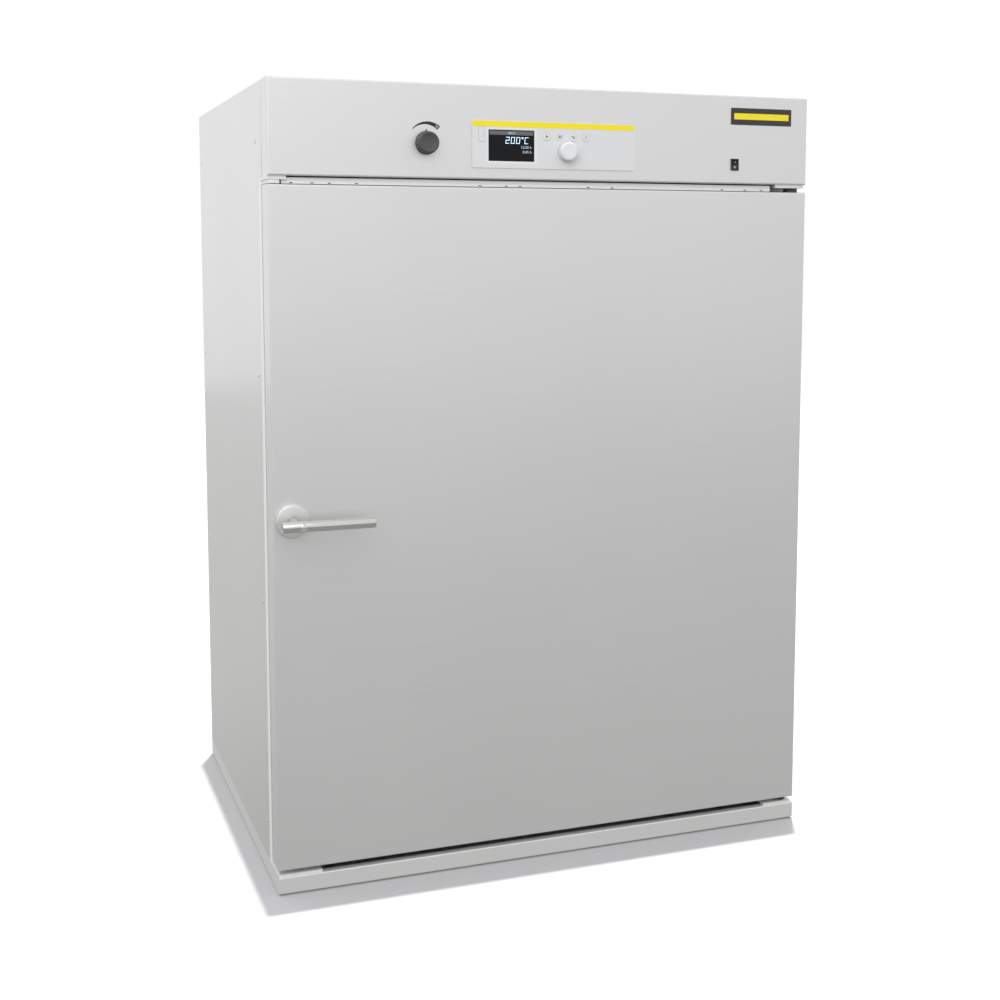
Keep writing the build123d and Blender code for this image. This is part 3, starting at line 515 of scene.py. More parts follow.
class OVEN_OT_casing(bpy.types.Operator):
    """Brushed steel, seams and screws of the casing"""

    bl_idname = "oven.casing"
    bl_label = "Casing"

    def execute(self, context):
        dress("steel_level", "side_panel_left", "side_panel_right", "rear_panel", edge=True)
        dress("steel_level", "fascia", "door_shell")
        dress("tray_steel", "base_tray", edge=True)
        # The front frame takes the paler frame steel, painted light against the shade in the gap.
        dress("frame_steel", "front_frame", edge=True)
        dress("steel_top", "top_panel", edge=True)
        dress("zinc_sheet", "base_plate", "control_deck")
        dress("hard_rubber", "floor_pads")
        self.screws()
        self.lips()
        return {"FINISHED"}

    def lips(self):
        """The side panels' thin front edges, which lap over the return of the fascia."""
        lo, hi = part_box("fascia")
        front = high("door_shell")[1]
        bm = bmesh.new()
        for side in (lo[0], hi[0]):
            x0, x1 = sorted((side, side + math.copysign(0.5 * MM, side)))
            shape = bmesh.ops.create_cube(bm, size=1)
            place = Matrix.Translation(
                ((x0 + x1) / 2, (front + hi[1]) / 2, (lo[2] + hi[2]) / 2))
            size = (x1 - x0, hi[1] - front, hi[2] - lo[2] - 1 * MM, 1)
            bmesh.ops.transform(bm, matrix=place @ Matrix.Diagonal(size), verts=shape["verts"])
        lips = from_bmesh("panel_lips", bm, "cabinet", "steel_level")
        bevel = lips.modifiers.new("Edge break", "BEVEL")
        bevel.width = 0.2 * MM
        bevel.segments = 2

    def screws(self):
        """Domed screws with a round recess, on both sides and at the rear."""
        radius = 4 * MM
        rise = 1 * MM
        profile = [(radius, 0), (radius, 0.25 * MM), (radius * 0.86, 0.75 * MM),
                   (radius * 0.5, rise), (radius * 0.42, rise), (radius * 0.40, 0.3 * MM),
                   (0, 0.3 * MM)]
        bm = bmesh.new()
        side = high("side_panel_right")[0]
        back = high("rear_panel")[1]
        for z in self.heights():
            for y in (low("side_panel_right")[1] + SCREW_FROM_EDGE, back - SCREW_FROM_EDGE):
                add_lathe(bm, profile, (side, y, z), "+X", 20)
                add_lathe(bm, profile, (-side, y, z), "-X", 20)
            for x in (SCREW_FROM_EDGE - side, side - SCREW_FROM_EDGE):
                add_lathe(bm, profile, (x, back, z), "+Y", 20)
        heads = from_bmesh("casing_screws", bm, "cabinet", "bright_steel")
        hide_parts("panel_screws")

    def heights(self):
        """The four rows of the screws."""
        lo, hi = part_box("panel_screws")
        first = lo[2] + 4 * MM
        return [first + row * (hi[2] - 4 * MM - first) / 3 for row in range(4)]


class OVEN_OT_gap_hardware(bpy.types.Operator):
    """Hinge plates, their screws, and dark films that paint the shade of the small slot openings in
    the strip above the door
    """

    bl_idname = "oven.gap_hardware"
    bl_label = "Hinges and strip"

    def execute(self, context):
        dress("plate_zinc", "hinge_plate_lower", "hinge_plate_upper", "blank_hinge_plates",
              edge=True)
        dress("bright_steel", "hinge_pins")
        dress("dark_moulding", "hinge_bushes")
        self.strip()
        self.plate_screws()
        return {"FINISHED"}

    def strip(self):
        """The folded strip over the door, a row of dark films painting the shade of its small slot
        openings, and the blank boss.
        """
        under = low("fascia")[2]
        over = high("door_shell")[2]
        y = DOOR_FRONT + 10 * MM
        back = low("front_frame")[1]
        profile = [(y, over + 1.4 * MM), (y + 1 * MM, over + 1.4 * MM),
                   (y + 1 * MM, under - 3.4 * MM), (back, under - 3.4 * MM),
                   (back, under - 2.4 * MM), (y, under - 2.4 * MM)]
        bm = bmesh.new()
        ends = [[bm.verts.new((x, a, b)) for a, b in profile] for x in STRIP_ENDS]
        bm.faces.new(ends[0])
        bm.faces.new(list(reversed(ends[1])))
        for index in range(len(profile)):
            ahead = (index + 1) % len(profile)
            bm.faces.new([ends[0][index], ends[1][index], ends[1][ahead], ends[0][ahead]])
        # The strip takes the paler frame steel, painted light against the shade above the door.
        from_bmesh("door_strip", bm, "cabinet", "frame_steel")
        # Dark films standing proud of the strip: painted shade of its small slot openings.
        slot_shades = bmesh.new()
        z = over + 3.0 * MM
        for x in SLOT_SHADE_X:
            slot = rounded(0.6 * MM, (x - 2.6 * MM, z - 0.8 * MM), (x + 2.6 * MM, z + 0.8 * MM), 3)
            add_prism(slot_shades, slot, y - 0.1 * MM, y)
        from_bmesh("strip_slots", slot_shades, "cabinet", "dark_moulding")
        left = low("blank_hinge_plates")[0]
        outline = rounded(0.6 * MM, (left + 1.5 * MM, over + 1.2 * MM),
                          (left + 20.5 * MM, under - 6 * MM))
        prism("blank_boss", outline, DOOR_FRONT + 5 * MM, back, "cabinet", "bright_steel",
              "plate_zinc", bevel=0.5 * MM)

    def plate_screws(self):
        """Countersunk screws that hold the lower plates down."""
        bm = bmesh.new()
        profile = [(4.2 * MM, 0), (4.2 * MM, 0.25 * MM), (1.9 * MM, 0.3 * MM),
                   (1.8 * MM, -0.8 * MM), (0, -0.8 * MM)]
        top = high("hinge_plate_lower")[2]
        y = low("hinge_plate_lower")[1] + 38 * MM
        right = low("hinge_plate_lower")[0]
        left = low("blank_hinge_plates")[0]
        for x in (right + 12 * MM, right + 40 * MM, left + 13 * MM, left + 40 * MM, left + 60 * MM):
            add_lathe(bm, profile, (x, y, top), "+Z", 20)
        from_bmesh("plate_screws", bm, "cabinet", "dark_moulding")


class OVEN_OT_controller(bpy.types.Operator):
    """Controller panel with its stripe, display, keys and jog dial"""

    bl_idname = "oven.controller"
    bl_label = "Controller"

    def execute(self, context):
        dress("bezel_plastic", "controller_bezel", "usb_flap")
        dress("dark_moulding", "controller_housing")
        dress("display_glass", "display_lens")
        dress("bright_steel", "jog_shaft", "usb_socket")
        self.panel = low("controller_bezel")[1]
        self.film = details().print_depth
        self.stripe()
        self.display()
        self.keys()
        self.dial()
        self.flap()
        return {"FINISHED"}

    def stripe(self):
        x0 = low("controller_bezel")[0]
        x1, _, z1 = high("controller_bezel")
        outline = rounded(0.4 * MM, (x0 + 0.3 * MM, z1 - details().stripe_height),
                          (x1 - 2.6 * MM, z1 - 0.3 * MM))
        prism("controller_stripe", outline, self.panel - self.film, self.panel, "cabinet",
              "bezel_plastic", "yellow_film")

    def display(self):
        (x0, glass, z0), (x1, _, z1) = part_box("display_lens")
        bm = bmesh.new()
        outer = rounded(1.2 * MM, (x0 - 3.2 * MM, z0 - 5 * MM), (x1 + 5.5 * MM, z1 + 3 * MM))
        inner = rounded(0.5 * MM, (x0, z0), (x1, z1))
        add_frame(bm, outer, inner, self.panel - self.film, self.panel)
        from_bmesh("display_surround", bm, "cabinet", "white_plastic")
        face = glass - self.film / 2
        bar = z1 - 8.6 * MM
        prism("display_header", rounded(0.2 * MM, (x0 + 2 * MM, bar), (x1 - 2 * MM, z1 - 1.8 * MM)),
              glass - self.film, glass, "cabinet", "display_glass", "grey_ink")
        words("display_clock", "08:15", 5.6 * MM,
              (x0 + 42 * MM, face - self.film, bar + 1.4 * MM), "CENTER")
        self.temperature("200'C", x0 + 30.5 * MM, z1 - 23.2 * MM, glass)
        for name, text, drop in (("display_line_1", "12:00 h", 31),
                                 ("display_line_2", "0:45 h", 39)):
            words(name, text, 6.6 * MM, (x1 - 5 * MM, face, z1 - drop * MM), "RIGHT")

    def temperature(self, text, x, z, glass):
        """Slanted seven-segment characters. x and z are the lower left corner of the first one."""
        width, height, stroke = 7.0 * MM, 11.5 * MM, 1.3 * MM
        shapes = {"2": "abged", "0": "abcdef", "C": "afed", "'": "abgf"}
        bm = bmesh.new()
        for character in text:
            small = character == "'"
            w, h = (width * 0.45, height * 0.42) if small else (width, height)
            base = z + (height - h if small else 0)
            half = (h - stroke) / 2
            tall = half + stroke
            bars = {"a": (0, h - stroke, w, stroke), "g": (0, half, w, stroke),
                    "d": (0, 0, w, stroke), "f": (0, half, stroke, tall),
                    "b": (w - stroke, half, stroke, tall), "e": (0, 0, stroke, tall),
                    "c": (w - stroke, 0, stroke, tall)}
            for letter in shapes[character]:
                bx, bz, bw, bh = bars[letter]
                inset = 0.12 * stroke
                corners = [(bx + inset, bz + inset), (bx + bw - inset, bz + inset),
                           (bx + bw - inset, bz + bh - inset), (bx + inset, bz + bh - inset)]
                slant = [(x + a + 0.1 * (base - z + b), base + b) for a, b in corners]
                add_prism(bm, slant, glass - self.film, glass)
            x += w + 2.0 * stroke
        from_bmesh("display_temperature", bm, "cabinet", "display_digits")

    def keys(self):
        for node, body in (("key_start", "start_key"), ("key_stop", "stop_key"),
                           ("key_back", "back_key"), ("key_info", "info_key")):
            lo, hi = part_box(node)
            centre = middle(node)
            radius = 7 * MM
            place = (centre.x, hi[1], centre.z)
            depth = hi[1] - lo[1]
            profile = [(0, 0), (radius + 1.5 * MM, 0), (radius + 1.5 * MM, 1 * MM),
                       (radius, 1 * MM), (radius, depth - 0.35 * MM),
                       (radius - 0.12 * MM, depth - 0.12 * MM), (radius - 0.4 * MM, depth),
                       (radius - 1.2 * MM, depth - 0.05 * MM), (0, depth - 0.18 * MM)]
            cap = lathe(node.replace("key", "cap"), profile, place, "-Y", body,
                        "key_plastic")
            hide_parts(node)
            self.symbol(node, body, centre, lo[1])
            # Painted shade of the gap round the key.
            self.shade_ring("ring_" + body, centre, radius + 0.55 * MM, 0.5 * MM, 40)

    def shade_ring(self, name, centre, radius, width, steps):
        """A grey ring on the panel: painted shade of the gap round a key or the dial."""
        bm = bmesh.new()
        add_loop(bm, (centre.x, centre.z), radius, width, self.panel - self.film / 2, self.panel,
                 steps)
        from_bmesh(name, bm, "cabinet", "pale_ink")

    def symbol(self, node, body, centre, face):
        """The printed sign on a key, made of flat strokes."""
        y0, y1 = face - self.film * 0.2, face + 0.2 * MM
        x, z = centre.x, centre.z
        strokes = {
            "key_start": [[(-1.9, -2.5), (2.7, 0), (-1.9, 2.5)]],
            "key_stop": [[(-2.9, -2.4), (-0.9, -2.4), (-0.9, 2.4), (-2.9, 2.4)],
                         [(0.2, -2.4), (3.0, -2.4), (3.0, -1.3), (0.2, -1.3)],
                         [(0.2, -0.5), (3.0, -0.5), (3.0, 0.6), (0.2, 0.6)],
                         [(0.2, 1.3), (3.0, 1.3), (3.0, 2.4), (0.2, 2.4)]],
            "key_back": [[(-3.4, 1.0), (-1.2, -0.7), (-1.2, 2.7)],
                         [(-1.2, 0.55), (2.9, 0.55), (2.9, 1.45), (-1.2, 1.45)],
                         [(2.0, -2.2), (2.9, -2.2), (2.9, 0.55), (2.0, 0.55)],
                         [(-1.4, -2.2), (2.0, -2.2), (2.0, -1.3), (-1.4, -1.3)]],
            "key_info": [[(-0.6, -2.7), (0.6, -2.7), (0.6, 0.9), (-0.6, 0.9)],
                         [(-0.65, 1.7), (0.65, 1.7), (0.65, 3.0), (-0.65, 3.0)]],
        }[node]
        bm = bmesh.new()
        for stroke in strokes:
            add_prism(bm, [(x + a * MM, z + b * MM) for a, b in stroke], y0, y1)
        from_bmesh(node.replace("key", "sign"), bm, body, "grey_ink")

    def dial(self):
        lo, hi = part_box("jog_dial")
        centre = middle("jog_dial")
        radius = (hi[0] - lo[0]) / 2
        depth = hi[1] - lo[1]
        profile = [(3.05 * MM, 0), (radius - 1.6 * MM, 0), (radius - 0.9 * MM, 0.5 * MM),
                   (radius - 0.35 * MM, depth * 0.45), (radius - 0.1 * MM, depth - 3.4 * MM),
                   (radius - 0.12 * MM, depth - 2.6 * MM), (radius - 0.55 * MM, depth - 1.5 * MM),
                   (radius - 1.5 * MM, depth - 0.6 * MM), (radius - 3.0 * MM, depth - 0.12 * MM),
                   (radius - 4.5 * MM, depth), (radius - 9 * MM, depth - 0.25 * MM),
                   (0, depth - 0.45 * MM)]
        wheel = lathe("jog_wheel_cap", profile, (centre.x, hi[1], centre.z), "-Y", "jog_wheel",
                      "white_plastic", segments=72)
        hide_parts("jog_dial")
        # Painted shade round the dial's edge.
        self.shade_ring("jog_ring", centre, radius + 1.2 * MM, 1.0 * MM, 64)

    def flap(self):
        """Paints the shade of a finger notch on the cover of the socket as a darker film."""
        lo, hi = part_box("usb_flap")
        x = hi[0] - 2.2 * MM
        z = (lo[2] + hi[2]) / 2
        notch = rounded(0.5 * MM, (x - 0.6 * MM, z - 4 * MM), (x + 0.6 * MM, z + 4 * MM))
        prism("flap_notch", notch, lo[1] - self.film, lo[1], "usb_cover", "bezel_plastic",
              "pale_ink")


class OVEN_OT_exhaust(bpy.types.Operator):
    """Exhaust knob, its printed scale, and the outlet behind it"""

    bl_idname = "oven.exhaust"
    bl_label = "Exhaust"

    def execute(self, context):
        dress("zinc_sheet", "exhaust_box", "damper_shutter")
        dress("steel_level", "exhaust_stub")
        dress("bright_steel", "damper_shaft")
        dress("bearing_metal", "damper_bushes")
        self.knob()
        self.scale()
        return {"FINISHED"}

    def knob(self):
        lo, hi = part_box("exhaust_knob")
        centre = middle("exhaust_knob")
        radius = (hi[0] - lo[0]) / 2
        depth = hi[1] - lo[1]
        profile = [(4 * MM, 0), (radius - 0.6 * MM, 0), (radius - 0.1 * MM, 0.5 * MM),
                   (radius, 1.5 * MM), (radius - 0.5 * MM, 3.0 * MM), (radius - 1.5 * MM, 3.6 * MM),
                   (radius - 1.7 * MM, 4.4 * MM), (radius - 2.0 * MM, depth - 1.8 * MM),
                   (radius - 2.7 * MM, depth - 0.6 * MM), (radius - 3.6 * MM, depth - 0.1 * MM),
                   (radius - 4.6 * MM, depth), (radius - 5.4 * MM, depth - 0.5 * MM),
                   (0, depth - 0.7 * MM)]
        bm = bmesh.new()
        add_lathe(bm, profile, (centre.x, hi[1], centre.z), "-Y", 72)
        for rib in range(24):
            angle = math.radians(15 * rib + 7.5)
            x = centre.x + (radius - 1.9 * MM) * math.sin(angle)
            z = centre.z + (radius - 1.9 * MM) * math.cos(angle)
            post = [(x + 0.45 * MM * math.cos(a), z + 0.45 * MM * math.sin(a))
                    for a in (math.radians(60 * side) for side in range(6))]
            add_prism(bm, post, lo[1] + 2 * MM, hi[1] - 4 * MM)
        knob = from_bmesh("exhaust_knob_cap", bm, "exhaust_control", "knob_plastic")
        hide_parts("exhaust_knob")
        tip = centre.z + radius + 2.6 * MM
        root = centre.z + radius - 3 * MM
        outline = [(centre.x - 1.6 * MM, root), (centre.x + 1.6 * MM, root),
                   (centre.x + 0.5 * MM, tip), (centre.x - 0.5 * MM, tip)]
        prism("knob_pointer", outline, hi[1] - 2.6 * MM, hi[1] - 0.2 * MM, "exhaust_control",
              "knob_plastic", "knob_plastic", bevel=0.3 * MM)
        line = rounded(0.4 * MM, (centre.x - 0.45 * MM, centre.z + radius - 12 * MM),
                       (centre.x + 0.45 * MM, centre.z + radius - 6 * MM))
        prism("knob_line", line, lo[1] + 0.45 * MM, lo[1] + 0.9 * MM, "exhaust_control",
              "knob_plastic", "black_ink")

    def scale(self):
        d = details()
        centre = middle("exhaust_knob")
        at = (centre.x, centre.z)

        def width(share):
            return d.scale_thin + (d.scale_thick - d.scale_thin) * share

        film = (FRONT - d.print_depth, FRONT)
        band = ring_outline(at, d.scale_radius, width, d.scale_start, d.scale_end)
        prism("exhaust_scale", band, *film, "cabinet", "plate_plastic", "black_ink")
        bm = bmesh.new()
        for angle in (31, 36):
            turn = math.radians(angle)
            for reach in (d.scale_radius - 1.4 * MM, d.scale_radius + 1.4 * MM):
                x = at[0] + reach * math.sin(turn)
                z = at[1] + reach * math.cos(turn)
                dot = [(x + 0.85 * MM * math.cos(a), z + 0.85 * MM * math.sin(a))
                       for a in (2 * math.pi * step / 12 for step in range(12))]
                add_prism(bm, dot, film[0] - 0.05 * MM, film[1])
        from_bmesh("exhaust_scale_dots", bm, "cabinet", "white_ink")


class OVEN_OT_switch_and_plate(bpy.types.Operator):
    """Mains switch and the blank plate"""

    bl_idname = "oven.switch_and_plate"
    bl_label = "Switch and plate"

    def execute(self, context):
        dress("black_plastic", "switch_bezel")
        dress("black_gloss", "switch_rocker")
        self.rocker_marks()
        self.plate()
        return {"FINISHED"}

    def rocker_marks(self):
        """The plain line and circle of an on and off rocker."""
        centre = middle("switch_bezel")
        face = low("switch_rocker")[1]
        tilt = math.radians(8)
        bm = bmesh.new()
        line = rounded(0.2 * MM, (-0.3 * MM, 3.2 * MM), (0.3 * MM, 6.2 * MM), 2)
        film = (-0.1 * MM, 0.5 * MM)
        add_prism(bm, line, *film)
        add_loop(bm, (0, -4.6 * MM), 1.5 * MM, 0.5 * MM, *film, 20)
        place = Matrix.Translation((centre.x, face + 1.05 * MM, centre.z))
        bmesh.ops.transform(bm, matrix=place @ Matrix.Rotation(tilt, 4, "X"), verts=bm.verts)
        from_bmesh("rocker_marks", bm, "rocker", "white_ink")

    def plate(self):
        lo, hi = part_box("blank_plate")
        plate = prism("blank_plate_cover", rounded(1.2 * MM, (lo[0], lo[2]), (hi[0], hi[2])),
                      lo[1], hi[1], "cabinet", "plate_plastic", "black_gloss", bevel=0.35 * MM)
        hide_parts("blank_plate")
        band = rounded(0.6 * MM, (lo[0] + 6 * MM, lo[2] + 9.5 * MM),
                       (hi[0] - 6 * MM, hi[2] - 9.5 * MM))
        prism("blank_plate_band", band, lo[1] - details().print_depth, lo[1] + 0.2 * MM, "cabinet",
              "plate_plastic", "yellow_film")


class OVEN_OT_lever(bpy.types.Operator):
    """Door lever with its rose, neck and end button"""

    bl_idname = "oven.lever"
    bl_label = "Lever"

    def execute(self, context):
        dress("bright_steel", "latch_spindle")
        dress("bright_steel", "latch_tongue", edge=True)
        dress("zinc_sheet", "latch_keeper")
        self.rose()
        self.handle()
        return {"FINISHED"}

    def rose(self):
        lo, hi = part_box("lever_rose")
        centre = middle("lever_rose")
        radius = (hi[0] - lo[0]) / 2
        depth = hi[1] - lo[1]
        profile = [(8.05 * MM, 0), (radius, 0), (radius, depth - 2.2 * MM),
                   (radius - 0.25 * MM, depth - 1.2 * MM), (radius - 0.9 * MM, depth - 0.4 * MM),
                   (radius - 2.0 * MM, depth), (11.2 * MM, depth), (10.6 * MM, depth - 0.5 * MM),
                   (8.6 * MM, depth - 0.5 * MM), (8.05 * MM, depth - 0.9 * MM), (8.05 * MM, 0)]
        rose = lathe("lever_rose_cover", profile, (centre.x, hi[1], centre.z), "-Y", "door",
                     "satin_steel", segments=96)
        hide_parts("lever_rose")

    def handle(self):
        lo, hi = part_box("lever_handle")
        rose = middle("lever_rose")
        radius = (hi[2] - lo[2]) / 2
        button_rise = 0.8 * MM
        axis = lo[1] + button_rise + radius
        length = hi[0] - lo[0]
        z = (lo[2] + hi[2]) / 2
        bm = bmesh.new()
        bar = [(0, 0.25 * MM), (radius - 2.2 * MM, 0.25 * MM), (radius - 1.8 * MM, 0),
               (radius - 0.9 * MM, 0), (radius - 0.25 * MM, 0.3 * MM), (radius, 1.0 * MM),
               (radius, length - 1.0 * MM), (radius - 0.25 * MM, length - 0.3 * MM),
               (radius - 0.9 * MM, length), (radius - 1.8 * MM, length),
               (radius - 2.2 * MM, length - 0.25 * MM), (0, length - 0.25 * MM)]
        add_lathe(bm, bar, (lo[0], axis, z), "+X", 64)
        from_end = hi[1] - axis
        neck = [(0, 0.3 * MM), (7.7 * MM, 0), (8 * MM, 0.3 * MM),
                (8 * MM, from_end - radius - 2.0 * MM), (8.6 * MM, from_end - radius + 2.0 * MM),
                (9.0 * MM, from_end - radius + 4.5 * MM), (8.2 * MM, from_end)]
        add_lathe(bm, neck, (rose.x, hi[1], z), "-Y", 64)
        handle = from_bmesh("lever_bar", bm, "latch", "handle_steel")
        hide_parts("lever_handle")
        dome = [(6.2 * MM, -2.2 * MM), (6.2 * MM, -0.9 * MM), (5.4 * MM, -0.25 * MM),
                (4.9 * MM, -0.35 * MM), (4.7 * MM, -0.9 * MM), (4.5 * MM, -0.2 * MM),
                (3.6 * MM, 0.35 * MM), (2.0 * MM, 0.68 * MM), (0, button_rise)]
        lathe("lever_button", dome, (rose.x + 6 * MM, axis - radius, z), "-Y", "latch",
              "bright_steel")


class OVEN_OT_door_inside(bpy.types.Operator):
    """Inner side of the door with its seal"""

    bl_idname = "oven.door_inside"
    bl_label = "Door inside"

    def execute(self, context):
        dress("chamber_steel", "door_inner_panel", edge=True)
        dress("mineral_wool", "door_insulation")
        self.seal()
        return {"FINISHED"}

    def seal(self):
        """A bulb seal on a flat foot, mitred at the corners."""
        lo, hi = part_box("door_gasket")
        depth = hi[1] - lo[1]
        width = 20 * MM
        section = [(0.0, 0.0), (1.0, 0.0), (1.0, 0.22), (0.86, 0.30)]
        for degrees in range(10, 171, 16):
            angle = math.radians(degrees)
            section.append((0.5 + 0.34 * math.cos(angle), 0.36 + 0.64 * math.sin(angle)))
        section += [(0.14, 0.30), (0.0, 0.22)]
        rings = []
        bm = bmesh.new()
        for across, up in section:
            inset = across * width
            y = lo[1] + up * depth
            corners = [(lo[0] + inset, lo[2] + inset), (hi[0] - inset, lo[2] + inset),
                       (hi[0] - inset, hi[2] - inset), (lo[0] + inset, hi[2] - inset)]
            rings.append([bm.verts.new((x, y, z)) for x, z in corners])
        for first, second in zip(rings, rings[1:] + rings[:1]):
            for side in range(4):
                ahead = (side + 1) % 4
                bm.faces.new([first[side], first[ahead], second[ahead], second[side]])
        seal = from_bmesh("door_seal", bm, "door", "silicone")
        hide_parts("door_gasket")


class OVEN_OT_chamber(bpy.types.Operator):
    """Chamber, shelves, fan and heater"""

    bl_idname = "oven.chamber"
    bl_label = "Chamber"

    def execute(self, context):
        dress("chamber_steel", "liner", "air_baffle", "shelf_rack_left", "shelf_rack_right")
        dress("grid_steel", "wire_grid_lower", "wire_grid_upper")
        dress("mineral_wool", "insulation_slabs")
        dress("zinc_sheet", "fan_impeller")
        dress("bright_steel", "fan_shaft", "temperature_probe")
        dress("heater_sheath", "ring_heater")
        return {"FINISHED"}


class OVEN_OT_rear(bpy.types.Operator):
    """Motor cover, cable gland and the power parts"""

    bl_idname = "oven.rear"
    bl_label = "Rear"

    def execute(self, context):
        dress("motor_paint", "fan_motor")
        dress("zinc_sheet", "motor_cover")
        dress("dark_moulding", "cable_gland")
        dress("dark_moulding", "relay_block", edge=True)
        return {"FINISHED"}


class OVEN_OT_stage(bpy.types.Operator):
    """Pale floor, soft light and the camera"""

    bl_idname = "oven.stage"
    bl_label = "Stage"

    def execute(self, context):
        stage = context.scene.oven_stage
        self.floor(stage)
        self.world(stage)
        self.lights(stage)
        self.camera(stage)
        context.scene.view_settings.view_transform = "Standard"
        return {"FINISHED"}

    def floor(self, stage):
        """Sends the object an even light, and shows the camera pale paper with the shadow."""
        bm = bmesh.new()
        bmesh.ops.create_grid(bm, x_segments=8, y_segments=8, size=9)
        mesh = bpy.data.meshes.new("floor")
        bm.to_mesh(mesh)
        bm.free()
        obj = bpy.data.objects.new("floor", mesh)
        bpy.context.scene.collection.objects.link(obj)
        material = bpy.data.materials.new("floor_paper")
        material.use_nodes = True
        tree = material.node_tree
        shader = tree.nodes["Principled BSDF"]
        set_inputs(shader, {"Roughness": 0.9, "Specular IOR Level": 0.0,
                            "Emission Color": (*stage.floor, 1)})
        path = add_node(tree, "LightPath")
        paint = add_mix(tree, (0, 0, 0, 1), (*stage.paper, 1))
        glow = add_node(tree, "Math", {0: 1.0}, "SUBTRACT")
        place = add_node(tree, "TexCoord")
        split = add_node(tree, "SeparateXYZ")
        back = self.back(tree, split, stage)
        level = add_node(tree, "Math", operation="MULTIPLY")
        wire(tree, (path, "Is Camera Ray", paint, "Factor"),
             (paint, "Result", shader, "Base Color"), (place, "Object", split, 0),
             (path, "Is Camera Ray", glow, 1), (glow, 0, level, 0), (back, "Result", level, 1),
             (level, 0, shader, "Emission Strength"))
        mesh.materials.append(material)

    def back(self, tree, split, stage):
        """Raises the light towards the back."""
        back = add_node(tree, "MapRange", {"From Min": -0.1, "From Max": 0.9, "To Min": 1.0,
                                           "To Max": stage.back_light})
        wire(tree, (split, "Y", back, "Value"))
        return back

    def world(self, stage):
        """Lights the object from all sides, and shows white to camera, glossy and passing rays."""
        world = bpy.data.worlds.new("studio")
        bpy.context.scene.world = world
        world.use_nodes = True
        tree = world.node_tree
        background = tree.nodes["Background"]
        place = add_node(tree, "TexCoord")
        split = add_node(tree, "SeparateXYZ")
        height = add_node(tree, "ValToRGB")
        height.color_ramp.interpolation = "B_SPLINE"
        marks = height.color_ramp.elements
        marks[0].position, marks[0].color = 0.0, (0.40, 0.40, 0.40, 1)
        marks[1].position, marks[1].color = 1.0, (0.62, 0.62, 0.62, 1)
        for position, level in ((0.22, 0.6), (0.5, 0.8), (0.75, 1.0)):
            marks.new(position).color = (level, level, level, 1)
        side = add_node(tree, "MapRange", {"From Min": -0.5, "From Max": 0.7, "To Min": 1.0,
                                           "To Max": stage.far_side})
        back = self.back(tree, split, stage)
        sides = add_node(tree, "Math", operation="MULTIPLY")
        light = add_node(tree, "Math", operation="MULTIPLY")
        peak = add_node(tree, "Math", {1: stage.sky_peak}, "MULTIPLY")
        shade = add_node(tree, "VectorMath", {0: stage.sky}, "SCALE")
        path = add_node(tree, "LightPath")
        seen = add_node(tree, "Math", operation="MAXIMUM")
        mirrored = add_node(tree, "Math", operation="MAXIMUM")
        pick = add_mix(tree, None, (1, 1, 1, 1))
        wire(tree, (place, "Generated", split, 0), (split, "X", side, "Value"),
             (side, "Result", sides, 0), (back, "Result", sides, 1), (split, "Z", height, "Fac"),
             (sides, 0, light, 0), (height, "Color", light, 1), (light, 0, peak, 0),
             (peak, 0, shade, "Scale"), (shade, "Vector", pick, "A"),
             (path, "Is Camera Ray", seen, 0), (path, "Is Transmission Ray", seen, 1),
             (seen, 0, mirrored, 0), (path, "Is Glossy Ray", mirrored, 1),
             (mirrored, 0, pick, "Factor"), (pick, "Result", background, "Color"))
        background.inputs["Strength"].default_value = 1.0

    def lights(self, stage):
        """A soft light from the front left, and one from above that only draws the shadow."""
        self.area("key_light", (-1.6, -2.6, 3.0), (0, -0.2, 0.6), 2.4, stage.key_power)
        sun = bpy.data.lights.new("overhead_light", "SUN")
        sun.energy = stage.sun_power
        sun.angle = math.radians(0.6)
        obj = bpy.data.objects.new("overhead_light", sun)
        top = high("fascia")[2]
        way = Vector((*stage.shadow_reach, -top))
        obj.rotation_euler = way.to_track_quat("-Z", "Y").to_euler()
        obj.location = (0.2, 0.4, 3.0)
        bpy.context.scene.collection.objects.link(obj)
        lit = bpy.data.collections.new("lit_from_overhead")
        lit.objects.link(bpy.data.objects["floor"])
        obj.light_linking.receiver_collection = lit
        shading = bpy.data.collections.new("shading_the_floor")
        for node in ("base_tray", "side_panel_left", "side_panel_right", "top_panel", "rear_panel",
                     "fascia", "door_shell", "front_frame"):
            shading.objects.link(NODES[node])
        obj.light_linking.blocker_collection = shading

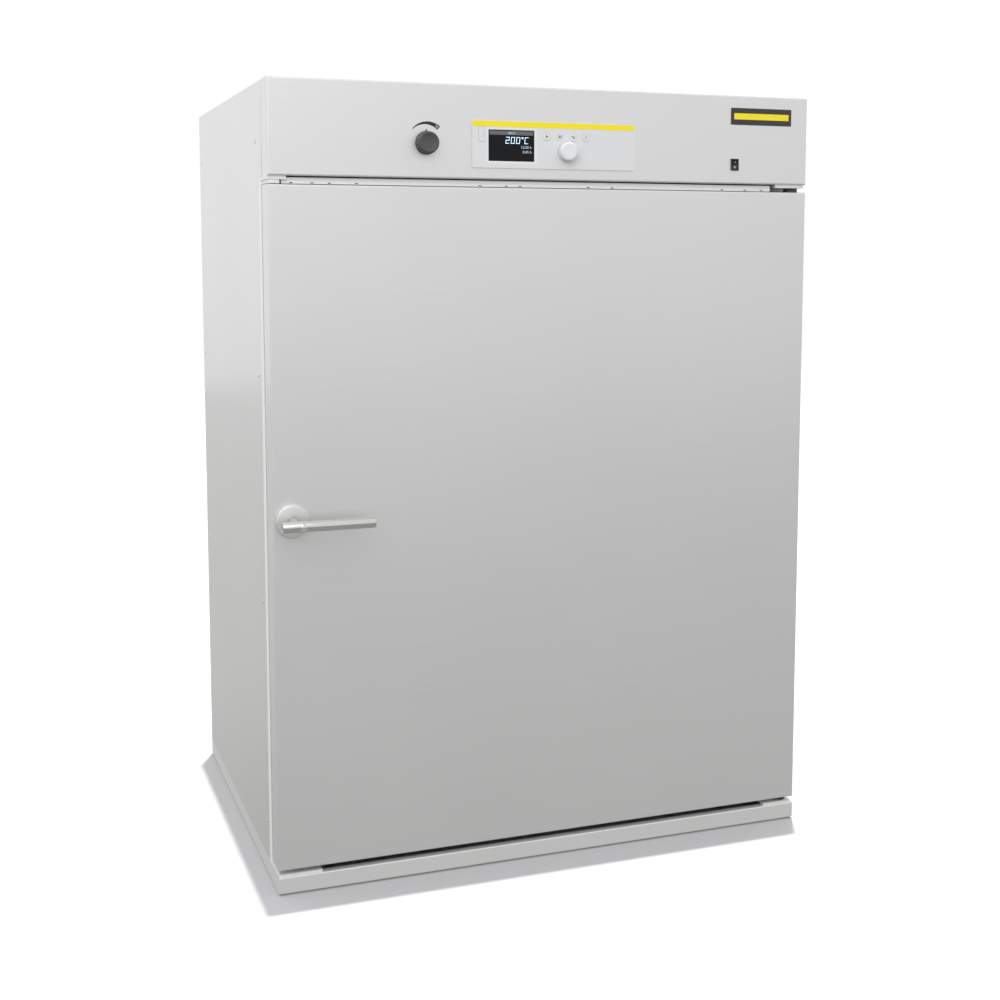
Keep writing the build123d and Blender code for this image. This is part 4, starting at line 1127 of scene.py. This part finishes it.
    def area(self, name, place, aim, size, power):
        """A square light of this size that faces aim."""
        lamp = bpy.data.lights.new(name, "AREA")
        lamp.shape = "SQUARE"
        lamp.size = size
        lamp.energy = power
        obj = bpy.data.objects.new(name, lamp)
        obj.location = place
        obj.rotation_euler = (Vector(aim) - Vector(place)).to_track_quat("-Z", "Y").to_euler()
        bpy.context.scene.collection.objects.link(obj)

    def camera(self, stage):
        data = bpy.data.cameras.new("camera")
        data.sensor_width = 36
        data.lens = stage.lens
        data.shift_y = stage.shift
        data.clip_start = 0.05
        obj = bpy.data.objects.new("camera", data)
        obj.location = stage.place
        obj.rotation_euler = (math.pi / 2 - stage.pitch, 0, -stage.turn)
        bpy.context.scene.collection.objects.link(obj)
        bpy.context.scene.camera = obj


class OVEN_PT_sidebar(bpy.types.Panel):
    """Lists the oven's parts and their settings"""

    bl_label = "Drying Oven"
    bl_space_type = "VIEW_3D"
    bl_region_type = "UI"
    bl_category = "Oven"

    def draw(self, context):
        for operator in OPERATORS:
            self.layout.operator(operator.bl_idname)
        for group in (context.scene.oven_finish, context.scene.oven_detail,
                      context.scene.oven_stage):
            box = self.layout.box()
            for name in group.__annotations__:
                box.prop(group, name)


OPERATORS = (OVEN_OT_casing, OVEN_OT_gap_hardware, OVEN_OT_controller, OVEN_OT_exhaust,
             OVEN_OT_switch_and_plate, OVEN_OT_lever, OVEN_OT_door_inside, OVEN_OT_chamber,
             OVEN_OT_rear, OVEN_OT_stage)
SETTINGS = {"oven_finish": FinishSettings, "oven_detail": DetailSettings,
            "oven_stage": StageSettings}


def register():
    for cls in (*SETTINGS.values(), *OPERATORS, OVEN_PT_sidebar):
        bpy.utils.register_class(cls)
    for name, cls in SETTINGS.items():
        setattr(bpy.types.Scene, name, PointerProperty(type=cls))


def unregister():
    for name in SETTINGS:
        delattr(bpy.types.Scene, name)
    for cls in reversed((*SETTINGS.values(), *OPERATORS, OVEN_PT_sidebar)):
        bpy.utils.unregister_class(cls)


def main():
    register()
    for operator in OPERATORS:
        getattr(bpy.ops.oven, operator.bl_idname.partition(".")[2])()
    bpy.context.view_layer.update()


if __name__ == "__main__":
    main()
